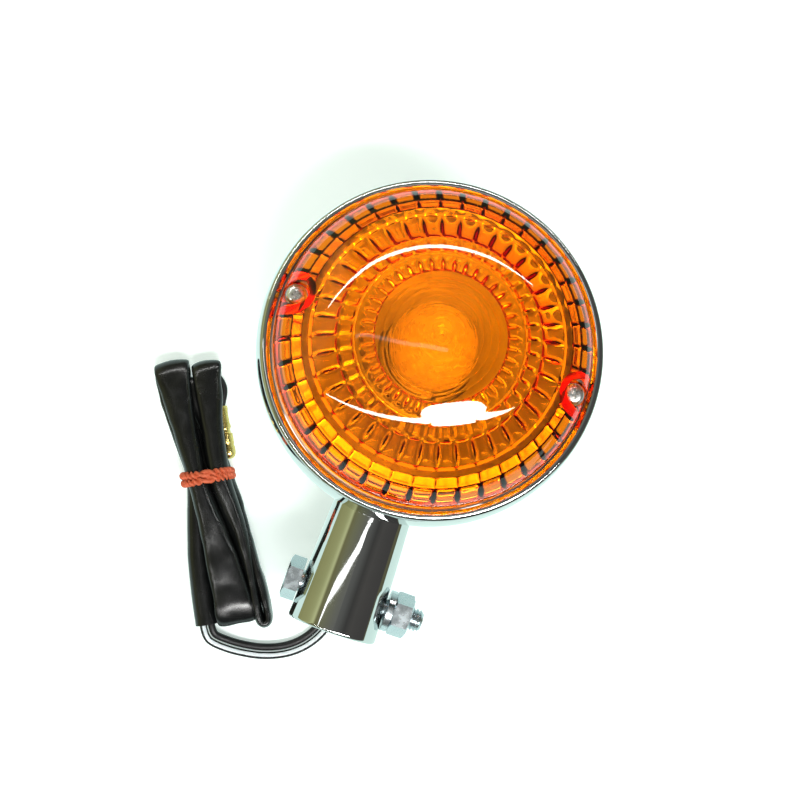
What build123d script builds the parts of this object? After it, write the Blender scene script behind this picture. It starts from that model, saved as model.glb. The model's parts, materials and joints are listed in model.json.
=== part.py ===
"""Motorcycle turn signal indicator: a chromed bowl on a hollow stalk, with an amber lens,
a bayonet bulb in its socket, a cross bolt through the stalk and a folded lead.

Millimetres. The origin is the middle of the bowl's flat back, +Z is the lens axis and
the stalk points along -Y.
"""

import math
import os

from build123d import *

os.makedirs("parts", exist_ok=True)

# ---------------------------------------------------------------- driving dimensions
# Bowl
BOWL_R = 44.4  # widest radius of the bowl
BELLY_Z = 34.0  # height of the widest radius
BACK_R = 20.0  # flat back
SHELL = 1.2  # sheet thickness
LIP_R = 41.85  # centre line of the rolled lip
LIP_Z = 43.5
LIP_BEAD_R = 1.35
LEDGE_Z = 40.0  # the ledge inside the lip that carries the reflector
LEDGE_R = 37.9

# Lens and what it sits on
LENS_R = 39.8
LENS_BASE_Z = 42.2
DOME_Z = 44.6  # where the dome starts
DOME_RISE = 22.0
SHOULDER_R = 14.0  # radius of the dome's shoulder, in section
LENS_WALL = 2.4
SEAT_RING_R = 40.2  # outer radius of the gasket and the reflector flange
REFLECTOR_SHEET = 0.8
BOSS_R = 5.5
SCREW_X = 36.0  # both lens screws stand this far from the lens axis
RECESS_R = 3.2
RECESS_FLOOR_Z = 48.5
SCREW_R = 1.5
SCREW_HEAD_R = 2.5
SCREW_HEAD_H = 2.0
SCREW_LENGTH = 19.0
THREAD_GAP = 0.05
POST_R = 3.5

# Bulb and socket
SOCKET_R = 8.7
SOCKET_BORE_R = 7.9
SOCKET_TOP_Z = 31.5
SOCKET_FLOOR_Z = 7.0
FLANGE_R = 16.5
RIVET_X = 13.0
RIVET_R = 1.5
BULB_CAP_R = 7.45
BULB_NECK_R = 6.95
BULB_R = 9.0
BULB_Z = 45.6  # centre of the round glass
CAP_BOTTOM_Z = 20.0
CAP_TOP_Z = 36.0
PIN_Z = 26.5
PIN_R = 1.0
BAYONET_TURN = 25.0  # degrees
CONTACT_Z = 18.4  # where the bulb's contact meets the socket's
PLUNGER_Z = 14.0

# Stalk and its fixings
STALK_Z = 24.0  # height of the stalk's axis
STALK_END_Y = -75.0
STALK_END_R = 11.8
STALK_ROOT_R = 10.6
STALK_ROOT_Y = -46.0
FLARE_R = 13.6
MOUTH_R = 9.9
MOUTH_DEPTH = 5.5
BORE_R = 9.4
BORE_FLOOR_Y = -50.0
NECK_R = 7.0
NECK_BORE_R = 4.5
NECK_END_Y = -31.5
NECK_GAP = 0.08
SADDLE_R = 10.5
SADDLE_Y = -37.0
LOCK_NUT_FLATS = 19.0
LOCK_NUT_H = 4.0

# Cross bolt, M6
BOLT_Y = -65.6
BOLT_R = 3.0
BOLT_HOLE_R = 3.3
HEX_FLATS = 10.0
BOLT_SEAT_X = -11.75
BOLT_HEAD_H = 4.0
BOLT_END_X = 21.6
WASHER_X = 11.75
WASHER_H = 1.6
NUT_H = 5.0

# Lead
WIRE_R = 1.0
WIRE_HALF_GAP = 1.1  # half the distance between the two wires
WIRE_HOLE_Y = -56.5
GROMMET_BOTTOM_Z = 11.2
HOLE_R = 3.4  # wire hole in the stalk's underside

# Folded sleeve: measured along its own length and across it
HANK_ORIGIN = (-54.56, -31.5, 0.0)
HANK_TILT = -60.0  # degrees from +X
HANK_START = -14.0
HANK_END = 59.0
BAND_START = 17.2
BAND_WIDTH = 4.2
BULLET_R = 1.95
BULLET_START = 0.4
BULLET_LENGTH = 15.0
BULLET_Z = 2.2
LIVE_BULLET_SIDE = 5.9
GROUND_BULLET_SIDE = 1.4
REBATE = (-9.0, 16.2, -1.2, 4.6)  # start, end, side and height of the hollow under the sleeve

hank = Plane(
    origin=HANK_ORIGIN,
    x_dir=(math.cos(math.radians(HANK_TILT)), math.sin(math.radians(HANK_TILT)), 0),
    z_dir=(0, 0, 1),
)
stalk_profile = Plane(origin=(0, 0, STALK_Z), x_dir=(0, 1, 0), z_dir=(1, 0, 0))
stalk_axis = Axis((0, 0, STALK_Z), (0, 1, 0))


def across_stalk(y):
    """Plane square to the stalk at y, facing the mouth."""
    return Plane(origin=(0, y, STALK_Z), x_dir=(1, 0, 0), z_dir=(0, -1, 0))


def across_bolt(x):
    """Plane square to the cross bolt at x, facing +X."""
    return Plane(origin=(x, BOLT_Y, STALK_Z), x_dir=(0, 1, 0), z_dir=(1, 0, 0))


def hex_radius(flats):
    """Corner radius of a hexagon from its width across flats."""
    return flats / math.sqrt(3)


def finish(part, label):
    """Name a finished piece and write it."""
    part.label = label
    export_step(part, f"parts/{label}.step")


# ---------------------------------------------------------------- bowl
def bowl_outline(inset):
    """Closed half section of the bowl's body, inset from its outer face."""
    width = BOWL_R - BACK_R - inset
    height = BELLY_Z - inset
    Line((0, inset), (BACK_R, inset))
    EllipticalCenterArc((BACK_R, BELLY_Z), width, height, start_angle=270, arc_size=90)
    # the side is one arc, upright at the belly and tangent to the rolled lip
    inward = BOWL_R - LIP_R
    rise = LIP_Z - BELLY_Z
    side_radius = (rise**2 + inward**2 - LIP_BEAD_R**2) / (2 * (inward - LIP_BEAD_R))
    lean = math.atan2(rise, side_radius - inward)
    top = (
        LIP_R + (LIP_BEAD_R - inset) * math.cos(lean),
        LIP_Z + (LIP_BEAD_R - inset) * math.sin(lean),
    )
    TangentArc((BOWL_R - inset, BELLY_Z), top, tangent=(0, 1))
    Polyline(top, (0, top[1]), (0, inset))


with BuildPart() as bowl_envelope:
    with BuildSketch(Plane.XZ):
        with BuildLine():
            bowl_outline(0)
        make_face()
    revolve(axis=Axis.Z)

with BuildPart() as bowl_cavity:
    with BuildSketch(Plane.XZ):
        with BuildLine():
            bowl_outline(SHELL)
        make_face()
    revolve(axis=Axis.Z)
    with BuildSketch(Plane.XY.offset(LEDGE_Z - SHELL)):
        Circle(BOWL_R)
        Circle(LEDGE_R, mode=Mode.SUBTRACT)
    extrude(amount=LIP_Z, mode=Mode.SUBTRACT)

RIVET_SINK_R = 2.6
RIVET_SINK_H = 1.1
with BuildPart() as housing_bowl:
    add(bowl_envelope)
    with BuildSketch(Plane.XZ):
        with Locations((LIP_R, LIP_Z)):
            Circle(LIP_BEAD_R)
    revolve(axis=Axis.Z)
    add(bowl_cavity, mode=Mode.SUBTRACT)
    # the hollow above the ledge, where the reflector, gasket and lens sit
    with BuildSketch(Plane.XY.offset(LEDGE_Z)):
        Circle(LIP_R - LIP_BEAD_R)
    extrude(amount=LIP_Z, mode=Mode.SUBTRACT)
    # round hole for the stalk's neck
    with BuildSketch(across_stalk(SADDLE_Y)):
        Circle(NECK_R + NECK_GAP)
    extrude(amount=BOWL_R, mode=Mode.SUBTRACT)
    # sunk holes for the two socket rivets
    with Locations((RIVET_X, 0, 0), (-RIVET_X, 0, 0)):
        Cylinder(RIVET_R, 4 * SHELL, mode=Mode.SUBTRACT)
        Cone(
            RIVET_SINK_R,
            RIVET_R,
            RIVET_SINK_H,
            align=(Align.CENTER, Align.CENTER, Align.MIN),
            mode=Mode.SUBTRACT,
        )
finish(housing_bowl.part, "housing_bowl")

# Threaded pillars that stand on the inside of the bowl, one under each lens screw
POST_HOLE_DEPTH = 12.0
POST_FOOT_Z = 4.0
for side, name in ((-1, "screw_post_left"), (1, "screw_post_right")):
    with BuildPart() as screw_post:
        with BuildSketch(Plane.XY.offset(POST_FOOT_Z)):
            with Locations((side * SCREW_X, 0)):
                Circle(POST_R)
        extrude(amount=LEDGE_Z - POST_FOOT_Z)
        add(bowl_cavity, mode=Mode.INTERSECT)
        with BuildSketch(Plane.XY.offset(LEDGE_Z)):
            with Locations((side * SCREW_X, 0)):
                Circle(SCREW_R + THREAD_GAP)
        extrude(amount=-POST_HOLE_DEPTH, mode=Mode.SUBTRACT)
    finish(screw_post.part, name)

# ---------------------------------------------------------------- reflector and gasket
DISH_TOP_R = 31.7
DISH_HOLE_R = 9.6
DISH_BACK = (20.4, 24.0)  # a point half way down the dish, radius and height, on its back
DISH_BACK_Z = 16.4  # edge of the hole, on the back
DISH_FACE = (19.9, 24.7)  # the same two on the bright face
DISH_FACE_Z = 17.3
DISH_FACE_TOP_R = DISH_TOP_R - 0.7
REFLECTOR_HOLE_R = SCREW_R + 0.3
with BuildPart() as reflector:
    with BuildSketch(Plane.XZ):
        with BuildLine():
            Polyline(
                (DISH_TOP_R, LEDGE_Z),
                (SEAT_RING_R, LEDGE_Z),
                (SEAT_RING_R, LEDGE_Z + REFLECTOR_SHEET),
                (DISH_FACE_TOP_R, LEDGE_Z + REFLECTOR_SHEET),
            )
            ThreePointArc(
                (DISH_FACE_TOP_R, LEDGE_Z + REFLECTOR_SHEET), DISH_FACE, (DISH_HOLE_R, DISH_FACE_Z)
            )
            Line((DISH_HOLE_R, DISH_FACE_Z), (DISH_HOLE_R, DISH_BACK_Z))
            ThreePointArc((DISH_HOLE_R, DISH_BACK_Z), DISH_BACK, (DISH_TOP_R, LEDGE_Z))
        make_face()
    revolve(axis=Axis.Z)
    with BuildSketch(Plane.XY.offset(LEDGE_Z)):
        with Locations((SCREW_X, 0), (-SCREW_X, 0)):
            Circle(REFLECTOR_HOLE_R)
    extrude(amount=REFLECTOR_SHEET, mode=Mode.SUBTRACT)
finish(reflector.part, "reflector")

GASKET_Z = LEDGE_Z + REFLECTOR_SHEET
with BuildPart() as lens_gasket:
    with BuildSketch(Plane.XY.offset(GASKET_Z)):
        Circle(SEAT_RING_R)
        Circle(LEDGE_R, mode=Mode.SUBTRACT)
    extrude(amount=LENS_BASE_Z - GASKET_Z)
finish(lens_gasket.part, "lens_gasket")


# ---------------------------------------------------------------- lens
def dome_outline(inset, base_z):
    """Closed half section of the lens, inset from its outer face: a crown and a shoulder arc."""
    reach = LENS_R - SHOULDER_R
    lift = DOME_RISE - SHOULDER_R
    drop = (reach**2 - lift**2) / (2 * lift)  # crown's centre below the shoulder's
    slope = math.atan2(drop, reach)
    shoulder = SHOULDER_R - inset
    knee = (reach + shoulder * math.cos(slope), DOME_Z + shoulder * math.sin(slope))
    crown = DOME_RISE + drop - inset
    middle = (slope + math.pi / 2) / 2
    top = (0, DOME_Z - drop + crown)
    Line((LENS_R - inset, base_z), (LENS_R - inset, DOME_Z))
    TangentArc((LENS_R - inset, DOME_Z), knee, tangent=(0, 1))
    ThreePointArc(
        knee, (crown * math.cos(middle), DOME_Z - drop + crown * math.sin(middle)), top
    )
    Polyline(top, (0, base_z), (LENS_R - inset, base_z))


# the hollow under the dome, with a boss left standing round each screw
with BuildPart() as lens_hollow:
    with BuildSketch(Plane.XZ):
        with BuildLine():
            dome_outline(LENS_WALL, LENS_BASE_Z)
        make_face()
    revolve(axis=Axis.Z)
    with BuildSketch(Plane.XY.offset(LENS_BASE_Z)):
        with Locations((SCREW_X, 0), (-SCREW_X, 0)):
            Circle(BOSS_R)
    extrude(amount=DOME_RISE, mode=Mode.SUBTRACT)

BOSS_BASE_Z = GASKET_Z + 0.1
with BuildPart() as lens:
    with BuildSketch(Plane.XZ):
        with BuildLine():
            dome_outline(0, LENS_BASE_Z)
        make_face()
    revolve(axis=Axis.Z)
    add(lens_hollow, mode=Mode.SUBTRACT)
    # the bosses reach down inside the gasket
    with BuildSketch(Plane.XY.offset(BOSS_BASE_Z)):
        with Locations((SCREW_X, 0), (-SCREW_X, 0)):
            Circle(BOSS_R)
        Circle(LEDGE_R - 0.1, mode=Mode.INTERSECT)
    extrude(amount=LENS_BASE_Z - BOSS_BASE_Z)
    with BuildSketch(Plane.XY.offset(RECESS_FLOOR_Z)):
        with Locations((SCREW_X, 0), (-SCREW_X, 0)):
            Circle(RECESS_R)
    extrude(amount=DOME_RISE, mode=Mode.SUBTRACT)
    with BuildSketch(Plane.XY.offset(LEDGE_Z)):
        with Locations((SCREW_X, 0), (-SCREW_X, 0)):
            Circle(SCREW_R + 0.25)
    extrude(amount=DOME_RISE, mode=Mode.SUBTRACT)
finish(lens.part, "lens")

# ---------------------------------------------------------------- lens screws
LENS_WASHER_R = 2.85
LENS_WASHER_H = 0.5
CROSS_WIDTH = 0.9
CROSS_LENGTH = 3.2
CROSS_DEPTH = 1.2
for side, word in ((-1, "left"), (1, "right")):
    with BuildPart() as lens_washer:
        with BuildSketch(Plane.XY.offset(RECESS_FLOOR_Z)):
            with Locations((side * SCREW_X, 0)):
                Circle(LENS_WASHER_R)
                Circle(SCREW_R + THREAD_GAP, mode=Mode.SUBTRACT)
        extrude(amount=LENS_WASHER_H)
    finish(lens_washer.part, f"lens_washer_{word}")

    head_z = RECESS_FLOOR_Z + LENS_WASHER_H
    with BuildPart() as lens_screw:
        with BuildSketch(Plane.XY.offset(head_z)):
            with Locations((side * SCREW_X, 0)):
                Circle(SCREW_HEAD_R)
        extrude(amount=SCREW_HEAD_H)
        fillet(lens_screw.edges().group_by(Axis.Z)[-1], 0.9)
        with BuildSketch(Plane.XY.offset(head_z + SCREW_HEAD_H)):
            with Locations((side * SCREW_X, 0)):
                Rectangle(CROSS_LENGTH, CROSS_WIDTH)
                Rectangle(CROSS_WIDTH, CROSS_LENGTH)
        extrude(amount=-CROSS_DEPTH, mode=Mode.SUBTRACT)
        with BuildSketch(Plane.XY.offset(head_z)):
            with Locations((side * SCREW_X, 0)):
                Circle(SCREW_R)
        extrude(amount=-SCREW_LENGTH)
        chamfer(lens_screw.edges().group_by(Axis.Z)[0], 0.4)
    finish(lens_screw.part, f"lens_screw_{word}")

# ---------------------------------------------------------------- socket
FLANGE_TOP_Z = 2 * SHELL
SOCKET_SHEET = 1.0
with BuildPart() as socket_shell:
    with BuildSketch(Plane.XY.offset(SHELL)):
        Circle(FLANGE_R)
    extrude(amount=FLANGE_TOP_Z - SHELL)
    with BuildSketch(Plane.XY.offset(SHELL)):
        Circle(SOCKET_R)
    extrude(amount=SOCKET_TOP_Z - SHELL)
    with BuildSketch(Plane.XY.offset(SOCKET_FLOOR_Z + SOCKET_SHEET)):
        Circle(SOCKET_BORE_R)
    extrude(amount=SOCKET_TOP_Z, mode=Mode.SUBTRACT)
    with BuildSketch(Plane.XY.offset(SHELL)):
        Circle(SOCKET_BORE_R)
    extrude(amount=SOCKET_FLOOR_Z - SHELL, mode=Mode.SUBTRACT)
    # the live wire's hole in the floor and its window in the skirt
    with BuildSketch(Plane.XY):
        Circle(2 * WIRE_R + 0.2)
    extrude(amount=SOCKET_TOP_Z, mode=Mode.SUBTRACT)
    with BuildSketch(Plane.XZ):
        with Locations((0, (FLANGE_TOP_Z + SOCKET_FLOOR_Z) / 2)):
            Rectangle(5 * WIRE_R, SOCKET_FLOOR_Z - FLANGE_TOP_Z)
    extrude(amount=SOCKET_R + 1, mode=Mode.SUBTRACT)
    # the two bayonet slots, each a drop from the rim and a turn to the seat
    slot_width = 2 * PIN_R + 0.9
    slot_low_z = PIN_Z - PIN_R - 1.9
    slot_high_z = PIN_Z + PIN_R + 0.4
    for start in (90, 270):
        drop = start + BAYONET_TURN
        with BuildSketch(Plane.XY.offset(slot_low_z)):
            with Locations(Rotation(0, 0, drop)):
                with Locations((SOCKET_R, 0)):
                    Rectangle(SOCKET_R, slot_width)
        extrude(amount=SOCKET_TOP_Z, mode=Mode.SUBTRACT)
        reach = 2 * SOCKET_R
        first = math.radians(start - 10)
        last = math.radians(drop + 9)
        with BuildSketch(Plane.XY.offset(slot_low_z)):
            with BuildLine():
                Polyline(
                    (0, 0),
                    (reach * math.cos(first), reach * math.sin(first)),
                    (reach * math.cos(last), reach * math.sin(last)),
                    (0, 0),
                )
            make_face()
            Circle(SOCKET_BORE_R - 1, mode=Mode.SUBTRACT)
        extrude(amount=slot_high_z - slot_low_z, mode=Mode.SUBTRACT)
    with Locations((RIVET_X, 0, 0), (-RIVET_X, 0, 0)):
        Cylinder(RIVET_R, 4 * FLANGE_TOP_Z, mode=Mode.SUBTRACT)
finish(socket_shell.part, "socket_shell")

EYELET_R = 3.6
TERMINAL_SHEET = 0.8
TERMINAL_NECK = (2.4, 5.0)  # width and length
TERMINAL_BARREL_R = 1.6
BARREL_Z = FLANGE_TOP_Z + TERMINAL_BARREL_R
BARREL_START_Y = -4.8
BARREL_LENGTH = 4.8
with BuildPart() as ground_terminal:
    with BuildSketch(Plane.XY.offset(FLANGE_TOP_Z)):
        with Locations((RIVET_X, 0)):
            Circle(EYELET_R)
        with Locations((RIVET_X, BARREL_START_Y)):
            Rectangle(*TERMINAL_NECK)
        with Locations((RIVET_X, 0)):
            Circle(RIVET_R, mode=Mode.SUBTRACT)
    extrude(amount=TERMINAL_SHEET)
    with BuildSketch(
        Plane(origin=(RIVET_X, BARREL_START_Y, BARREL_Z), x_dir=(1, 0, 0), z_dir=(0, -1, 0))
    ):
        Circle(TERMINAL_BARREL_R)
    extrude(amount=BARREL_LENGTH)
    with BuildSketch(
        Plane(origin=(RIVET_X, BARREL_START_Y, BARREL_Z), x_dir=(1, 0, 0), z_dir=(0, -1, 0))
    ):
        Circle(WIRE_R)
    extrude(amount=BARREL_LENGTH, mode=Mode.SUBTRACT)
finish(ground_terminal.part, "ground_terminal")

RIVET_HEAD_H = 0.9
with BuildPart() as socket_rivets:
    for x, clamp_z in ((-RIVET_X, FLANGE_TOP_Z), (RIVET_X, FLANGE_TOP_Z + TERMINAL_SHEET)):
        with BuildSketch(Plane.XY):
            with Locations((x, 0)):
                Circle(RIVET_R)
        extrude(amount=clamp_z)
        with BuildSketch(Plane.XY.offset(clamp_z)):
            with Locations((x, 0)):
                Circle(RIVET_R + 0.8)
        extrude(amount=RIVET_HEAD_H, taper=30)
        with Locations((x, 0, 0)):
            Cone(
                RIVET_SINK_R,
                RIVET_R,
                RIVET_SINK_H,
                align=(Align.CENTER, Align.CENTER, Align.MIN),
            )
finish(socket_rivets.part, "socket_rivets")

# ---------------------------------------------------------------- sprung contact
PLUNGER_R = 7.4
PLUNGER_H = 1.6
TIP_R = 2.3
TIP_BOTTOM_Z = 12.6
with BuildPart() as contact_plunger:
    with BuildSketch(Plane.XY.offset(PLUNGER_Z)):
        Circle(PLUNGER_R)
        Circle(TIP_R, mode=Mode.SUBTRACT)
    extrude(amount=PLUNGER_H)
finish(contact_plunger.part, "contact_plunger")

with BuildPart() as contact_tip:
    with BuildSketch(Plane.XY.offset(TIP_BOTTOM_Z)):
        Circle(TIP_R)
    extrude(amount=CONTACT_Z - TIP_BOTTOM_Z)
    fillet(contact_tip.edges().group_by(Axis.Z)[-1], 0.5)
finish(contact_tip.part, "contact_tip")

SPRING_WIRE_R = 0.4
SPRING_R = 5.2
SPRING_TURNS = 3.5
spring_low = SOCKET_FLOOR_Z + SOCKET_SHEET + SPRING_WIRE_R
spring_height = PLUNGER_Z - SPRING_WIRE_R - spring_low
with BuildPart() as contact_spring:
    with BuildLine() as coil:
        Helix(
            pitch=spring_height / SPRING_TURNS,
            height=spring_height,
            radius=SPRING_R,
            center=(0, 0, spring_low),
        )
    with BuildSketch(Plane(origin=coil.line @ 0, z_dir=coil.line % 0)):
        Circle(SPRING_WIRE_R)
    sweep(is_frenet=True)
finish(contact_spring.part, "contact_spring")

# ---------------------------------------------------------------- bulb
with BuildPart() as bulb_base:
    with BuildSketch(Plane.XY.offset(CAP_BOTTOM_Z + 0.4)):
        Circle(BULB_CAP_R)
        Circle(BULB_NECK_R, mode=Mode.SUBTRACT)
    extrude(amount=CAP_TOP_Z - CAP_BOTTOM_Z - 0.4)
    for y_dir in (-1, 1):
        with BuildSketch(
            Plane(origin=(0, y_dir * (BULB_NECK_R + 0.1), PIN_Z), x_dir=(1, 0, 0), z_dir=(0, y_dir, 0))
        ):
            Circle(PIN_R)
        extrude(amount=1.75)
finish(bulb_base.part, "bulb_base")

INSULATOR_H = 2.6
with BuildPart() as bulb_insulator:
    with BuildSketch(Plane.XY.offset(CAP_BOTTOM_Z)):
        Circle(BULB_NECK_R)
    extrude(amount=INSULATOR_H)
    chamfer(bulb_insulator.edges().group_by(Axis.Z)[0], 0.35)
finish(bulb_insulator.part, "bulb_insulator")

BULB_CONTACT_R = 2.7
with BuildPart() as bulb_contact:
    with BuildSketch(Plane.XY.offset(CONTACT_Z)):
        Circle(BULB_CONTACT_R)
    extrude(amount=CAP_BOTTOM_Z - CONTACT_Z)
    fillet(bulb_contact.edges().group_by(Axis.Z)[0], 0.7)
finish(bulb_contact.part, "bulb_contact")

GLASS_WALL = 0.6
GLASS_FOOT_Z = 33.0


def glass_outline(inset):
    """Closed half section of the bulb's glass, inset from its outer face."""
    neck = BULB_NECK_R - inset
    ball = BULB_R - inset
    shoulder_z = BULB_Z - math.sqrt(ball**2 - neck**2)
    Line((neck, GLASS_FOOT_Z), (neck, shoulder_z))
    ThreePointArc((neck, shoulder_z), (ball, BULB_Z), (0, BULB_Z + ball))
    Polyline((0, BULB_Z + ball), (0, GLASS_FOOT_Z), (neck, GLASS_FOOT_Z))


with BuildPart() as bulb_glass:
    with BuildSketch(Plane.XZ):
        with BuildLine():
            glass_outline(0)
        make_face()
        with BuildLine():
            glass_outline(GLASS_WALL)
        make_face(mode=Mode.SUBTRACT)
    revolve(axis=Axis.Z)
finish(bulb_glass.part, "bulb_glass")

STEM_TOP_Z = 39.0
with BuildPart() as bulb_stem:
    with BuildSketch(Plane.XZ):
        Polygon(
            (0, GLASS_FOOT_Z),
            (BULB_NECK_R - GLASS_WALL, GLASS_FOOT_Z),
            (BULB_NECK_R - GLASS_WALL, GLASS_FOOT_Z + 0.8),
            (3.0, GLASS_FOOT_Z + 2.2),
            (2.0, STEM_TOP_Z),
            (0, STEM_TOP_Z),
            align=None,
        )
    revolve(axis=Axis.Z)
finish(bulb_stem.part, "bulb_stem")

FILAMENT_HALF = 2.7
FILAMENT_Z = 46.0
POST_WIRE_R = 0.28
with BuildPart() as filament_posts:
    for x_dir in (-1, 1):
        foot = Vector(x_dir * 1.2, 0, STEM_TOP_Z)
        tip = Vector(x_dir * FILAMENT_HALF, 0, FILAMENT_Z + 0.6)
        with BuildSketch(Plane(origin=foot, z_dir=tip - foot)):
            Circle(POST_WIRE_R)
        extrude(amount=(tip - foot).length)
finish(filament_posts.part, "filament_posts")

FILAMENT_R = 0.5
FILAMENT_WIRE_R = 0.12
filament_length = 2 * (FILAMENT_HALF - POST_WIRE_R) - 0.5
with BuildPart() as bulb_filament:
    with BuildLine() as filament_coil:
        Helix(
            pitch=filament_length / 8,
            height=filament_length,
            radius=FILAMENT_R,
            center=(-filament_length / 2, 0, FILAMENT_Z - 0.4),
            direction=(1, 0, 0),
        )
    with BuildSketch(Plane(origin=filament_coil.line @ 0, z_dir=filament_coil.line % 0)):
        Circle(FILAMENT_WIRE_R)
    sweep(is_frenet=True)
finish(bulb_filament.part, "bulb_filament")

# ---------------------------------------------------------------- stalk
EDGE_ROUND = 0.8
FLARE_START_Y = STALK_ROOT_Y + 3.0
FLARE_MIDDLE = (STALK_ROOT_Y + 2.1, STALK_ROOT_R + 0.9)  # place along Y and radius
with BuildPart() as stalk:
    with BuildSketch(stalk_profile):
        with BuildLine():
            Line((STALK_END_Y, 0), (STALK_END_Y, STALK_END_R))
            Line((STALK_END_Y, STALK_END_R), (STALK_ROOT_Y, STALK_ROOT_R))
            ThreePointArc((STALK_ROOT_Y, STALK_ROOT_R), FLARE_MIDDLE, (FLARE_START_Y, FLARE_R))
            Polyline(
                (FLARE_START_Y, FLARE_R),
                (SADDLE_Y, FLARE_R),
                (SADDLE_Y, 0),
                (STALK_END_Y, 0),
            )
        make_face()
    revolve(axis=stalk_axis)
    end_edges = stalk.edges().group_by(Axis.Y)[0]
    fillet(end_edges, EDGE_ROUND)
    add(bowl_envelope, mode=Mode.SUBTRACT)
    # neck that passes through the bowl's side
    with BuildSketch(across_stalk(NECK_END_Y)):
        Circle(NECK_R)
    extrude(amount=NECK_END_Y - BORE_FLOOR_Y)
    with BuildSketch(across_stalk(NECK_END_Y)):
        Circle(NECK_BORE_R)
    extrude(amount=NECK_END_Y - STALK_END_Y, mode=Mode.SUBTRACT)
    with BuildSketch(across_stalk(BORE_FLOOR_Y)):
        Circle(BORE_R)
    extrude(amount=BORE_FLOOR_Y - STALK_END_Y, mode=Mode.SUBTRACT)
    with BuildSketch(across_stalk(STALK_END_Y + MOUTH_DEPTH)):
        Circle(MOUTH_R)
    extrude(amount=MOUTH_DEPTH, mode=Mode.SUBTRACT)
    # the cross bolt's two holes and the wire hole underneath
    with BuildSketch(across_bolt(-STALK_END_R - 1)):
        Circle(BOLT_HOLE_R)
    extrude(amount=2 * STALK_END_R + 2, mode=Mode.SUBTRACT)
    with BuildSketch(Plane.XY.offset(STALK_Z)):
        with Locations((0, WIRE_HOLE_Y)):
            Circle(HOLE_R)
    extrude(amount=-STALK_END_R - 1, mode=Mode.SUBTRACT)
finish(stalk.part, "stalk")

# Saddle plate: follows the inside of the bowl and gives the lock nut a flat seat
with BuildPart() as saddle_plate:
    with BuildSketch(across_stalk(SADDLE_Y)):
        Circle(SADDLE_R)
        Circle(NECK_R + NECK_GAP, mode=Mode.SUBTRACT)
    extrude(amount=BOWL_R)
    add(bowl_cavity, mode=Mode.INTERSECT)
finish(saddle_plate.part, "saddle_plate")

with BuildPart() as stalk_lock_nut:
    with BuildSketch(across_stalk(SADDLE_Y + LOCK_NUT_H)):
        RegularPolygon(hex_radius(LOCK_NUT_FLATS), 6)
        Circle(NECK_R + NECK_GAP, mode=Mode.SUBTRACT)
    extrude(amount=LOCK_NUT_H)
finish(stalk_lock_nut.part, "stalk_lock_nut")

# ---------------------------------------------------------------- cross bolt, washer and nut
HEX_CHAMFER = 0.5
with BuildPart() as clamp_bolt:
    with BuildSketch(across_bolt(BOLT_SEAT_X - BOLT_HEAD_H)):
        RegularPolygon(hex_radius(HEX_FLATS), 6, rotation=30)
    extrude(amount=BOLT_HEAD_H)
    with BuildSketch(across_bolt(BOLT_SEAT_X - BOLT_HEAD_H)):
        Circle(HEX_FLATS / 2)
    extrude(amount=BOLT_HEAD_H, taper=-60, mode=Mode.INTERSECT)
    with BuildSketch(across_bolt(BOLT_SEAT_X)):
        Circle(BOLT_R)
    extrude(amount=BOLT_END_X - BOLT_SEAT_X)
    chamfer(clamp_bolt.edges().group_by(Axis.X)[-1], HEX_CHAMFER)
finish(clamp_bolt.part, "clamp_bolt")

SPRING_WASHER_R = 5.4
SPRING_WASHER_BORE_R = BOLT_R + 0.2
WASHER_SPLIT = 0.9  # width of the cut through the ring
WASHER_SPLIT_AT = 70  # degrees round the ring
with BuildPart() as spring_washer:
    with BuildSketch(across_bolt(WASHER_X)):
        Circle(SPRING_WASHER_R)
        Circle(SPRING_WASHER_BORE_R, mode=Mode.SUBTRACT)
        with Locations(Rotation(0, 0, WASHER_SPLIT_AT)):
            with Locations(((SPRING_WASHER_R + SPRING_WASHER_BORE_R) / 2, 0)):
                Rectangle(SPRING_WASHER_R - 1.0, WASHER_SPLIT, mode=Mode.SUBTRACT)
    extrude(amount=WASHER_H)
finish(spring_washer.part, "spring_washer")

with BuildPart() as clamp_nut:
    with BuildSketch(across_bolt(WASHER_X + WASHER_H)):
        RegularPolygon(hex_radius(HEX_FLATS), 6, rotation=30)
    extrude(amount=NUT_H)
    with BuildSketch(across_bolt(WASHER_X + WASHER_H + NUT_H)):
        Circle(HEX_FLATS / 2)
    extrude(amount=-NUT_H, taper=-60, mode=Mode.INTERSECT)
    with BuildSketch(across_bolt(WASHER_X)):
        Circle(BOLT_R + THREAD_GAP)
    extrude(amount=WASHER_H + NUT_H, mode=Mode.SUBTRACT)
finish(clamp_nut.part, "clamp_nut")

# ---------------------------------------------------------------- grommet
GROMMET_FLANGE_R = 4.8
GROMMET_TOP_Z = 15.8
with BuildPart() as wire_grommet:
    with BuildSketch(Plane.XY.offset(GROMMET_BOTTOM_Z)):
        with Locations((0, WIRE_HOLE_Y)):
            Circle(GROMMET_FLANGE_R)
    extrude(amount=GROMMET_TOP_Z - GROMMET_BOTTOM_Z)
    add(stalk, mode=Mode.SUBTRACT)
    with BuildSketch(Plane.XY.offset(GROMMET_BOTTOM_Z)):
        with Locations((-WIRE_HALF_GAP, WIRE_HOLE_Y), (WIRE_HALF_GAP, WIRE_HOLE_Y)):
            Circle(WIRE_R + 0.03)
    extrude(amount=GROMMET_TOP_Z, mode=Mode.SUBTRACT)
finish(wire_grommet.part, "wire_grommet")


# ---------------------------------------------------------------- wires
def corner_radii(points):
    """Largest arcs that fit the runs beside each corner of a route."""
    radii = []
    for before, here, after in zip(points, points[1:], points[2:]):
        first = Vector(*here) - Vector(*before)
        second = Vector(*after) - Vector(*here)
        turn = math.radians(first.get_angle(second))
        radii.append(0.45 * min(first.length, second.length) / math.tan(turn / 2))
    return radii


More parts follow.
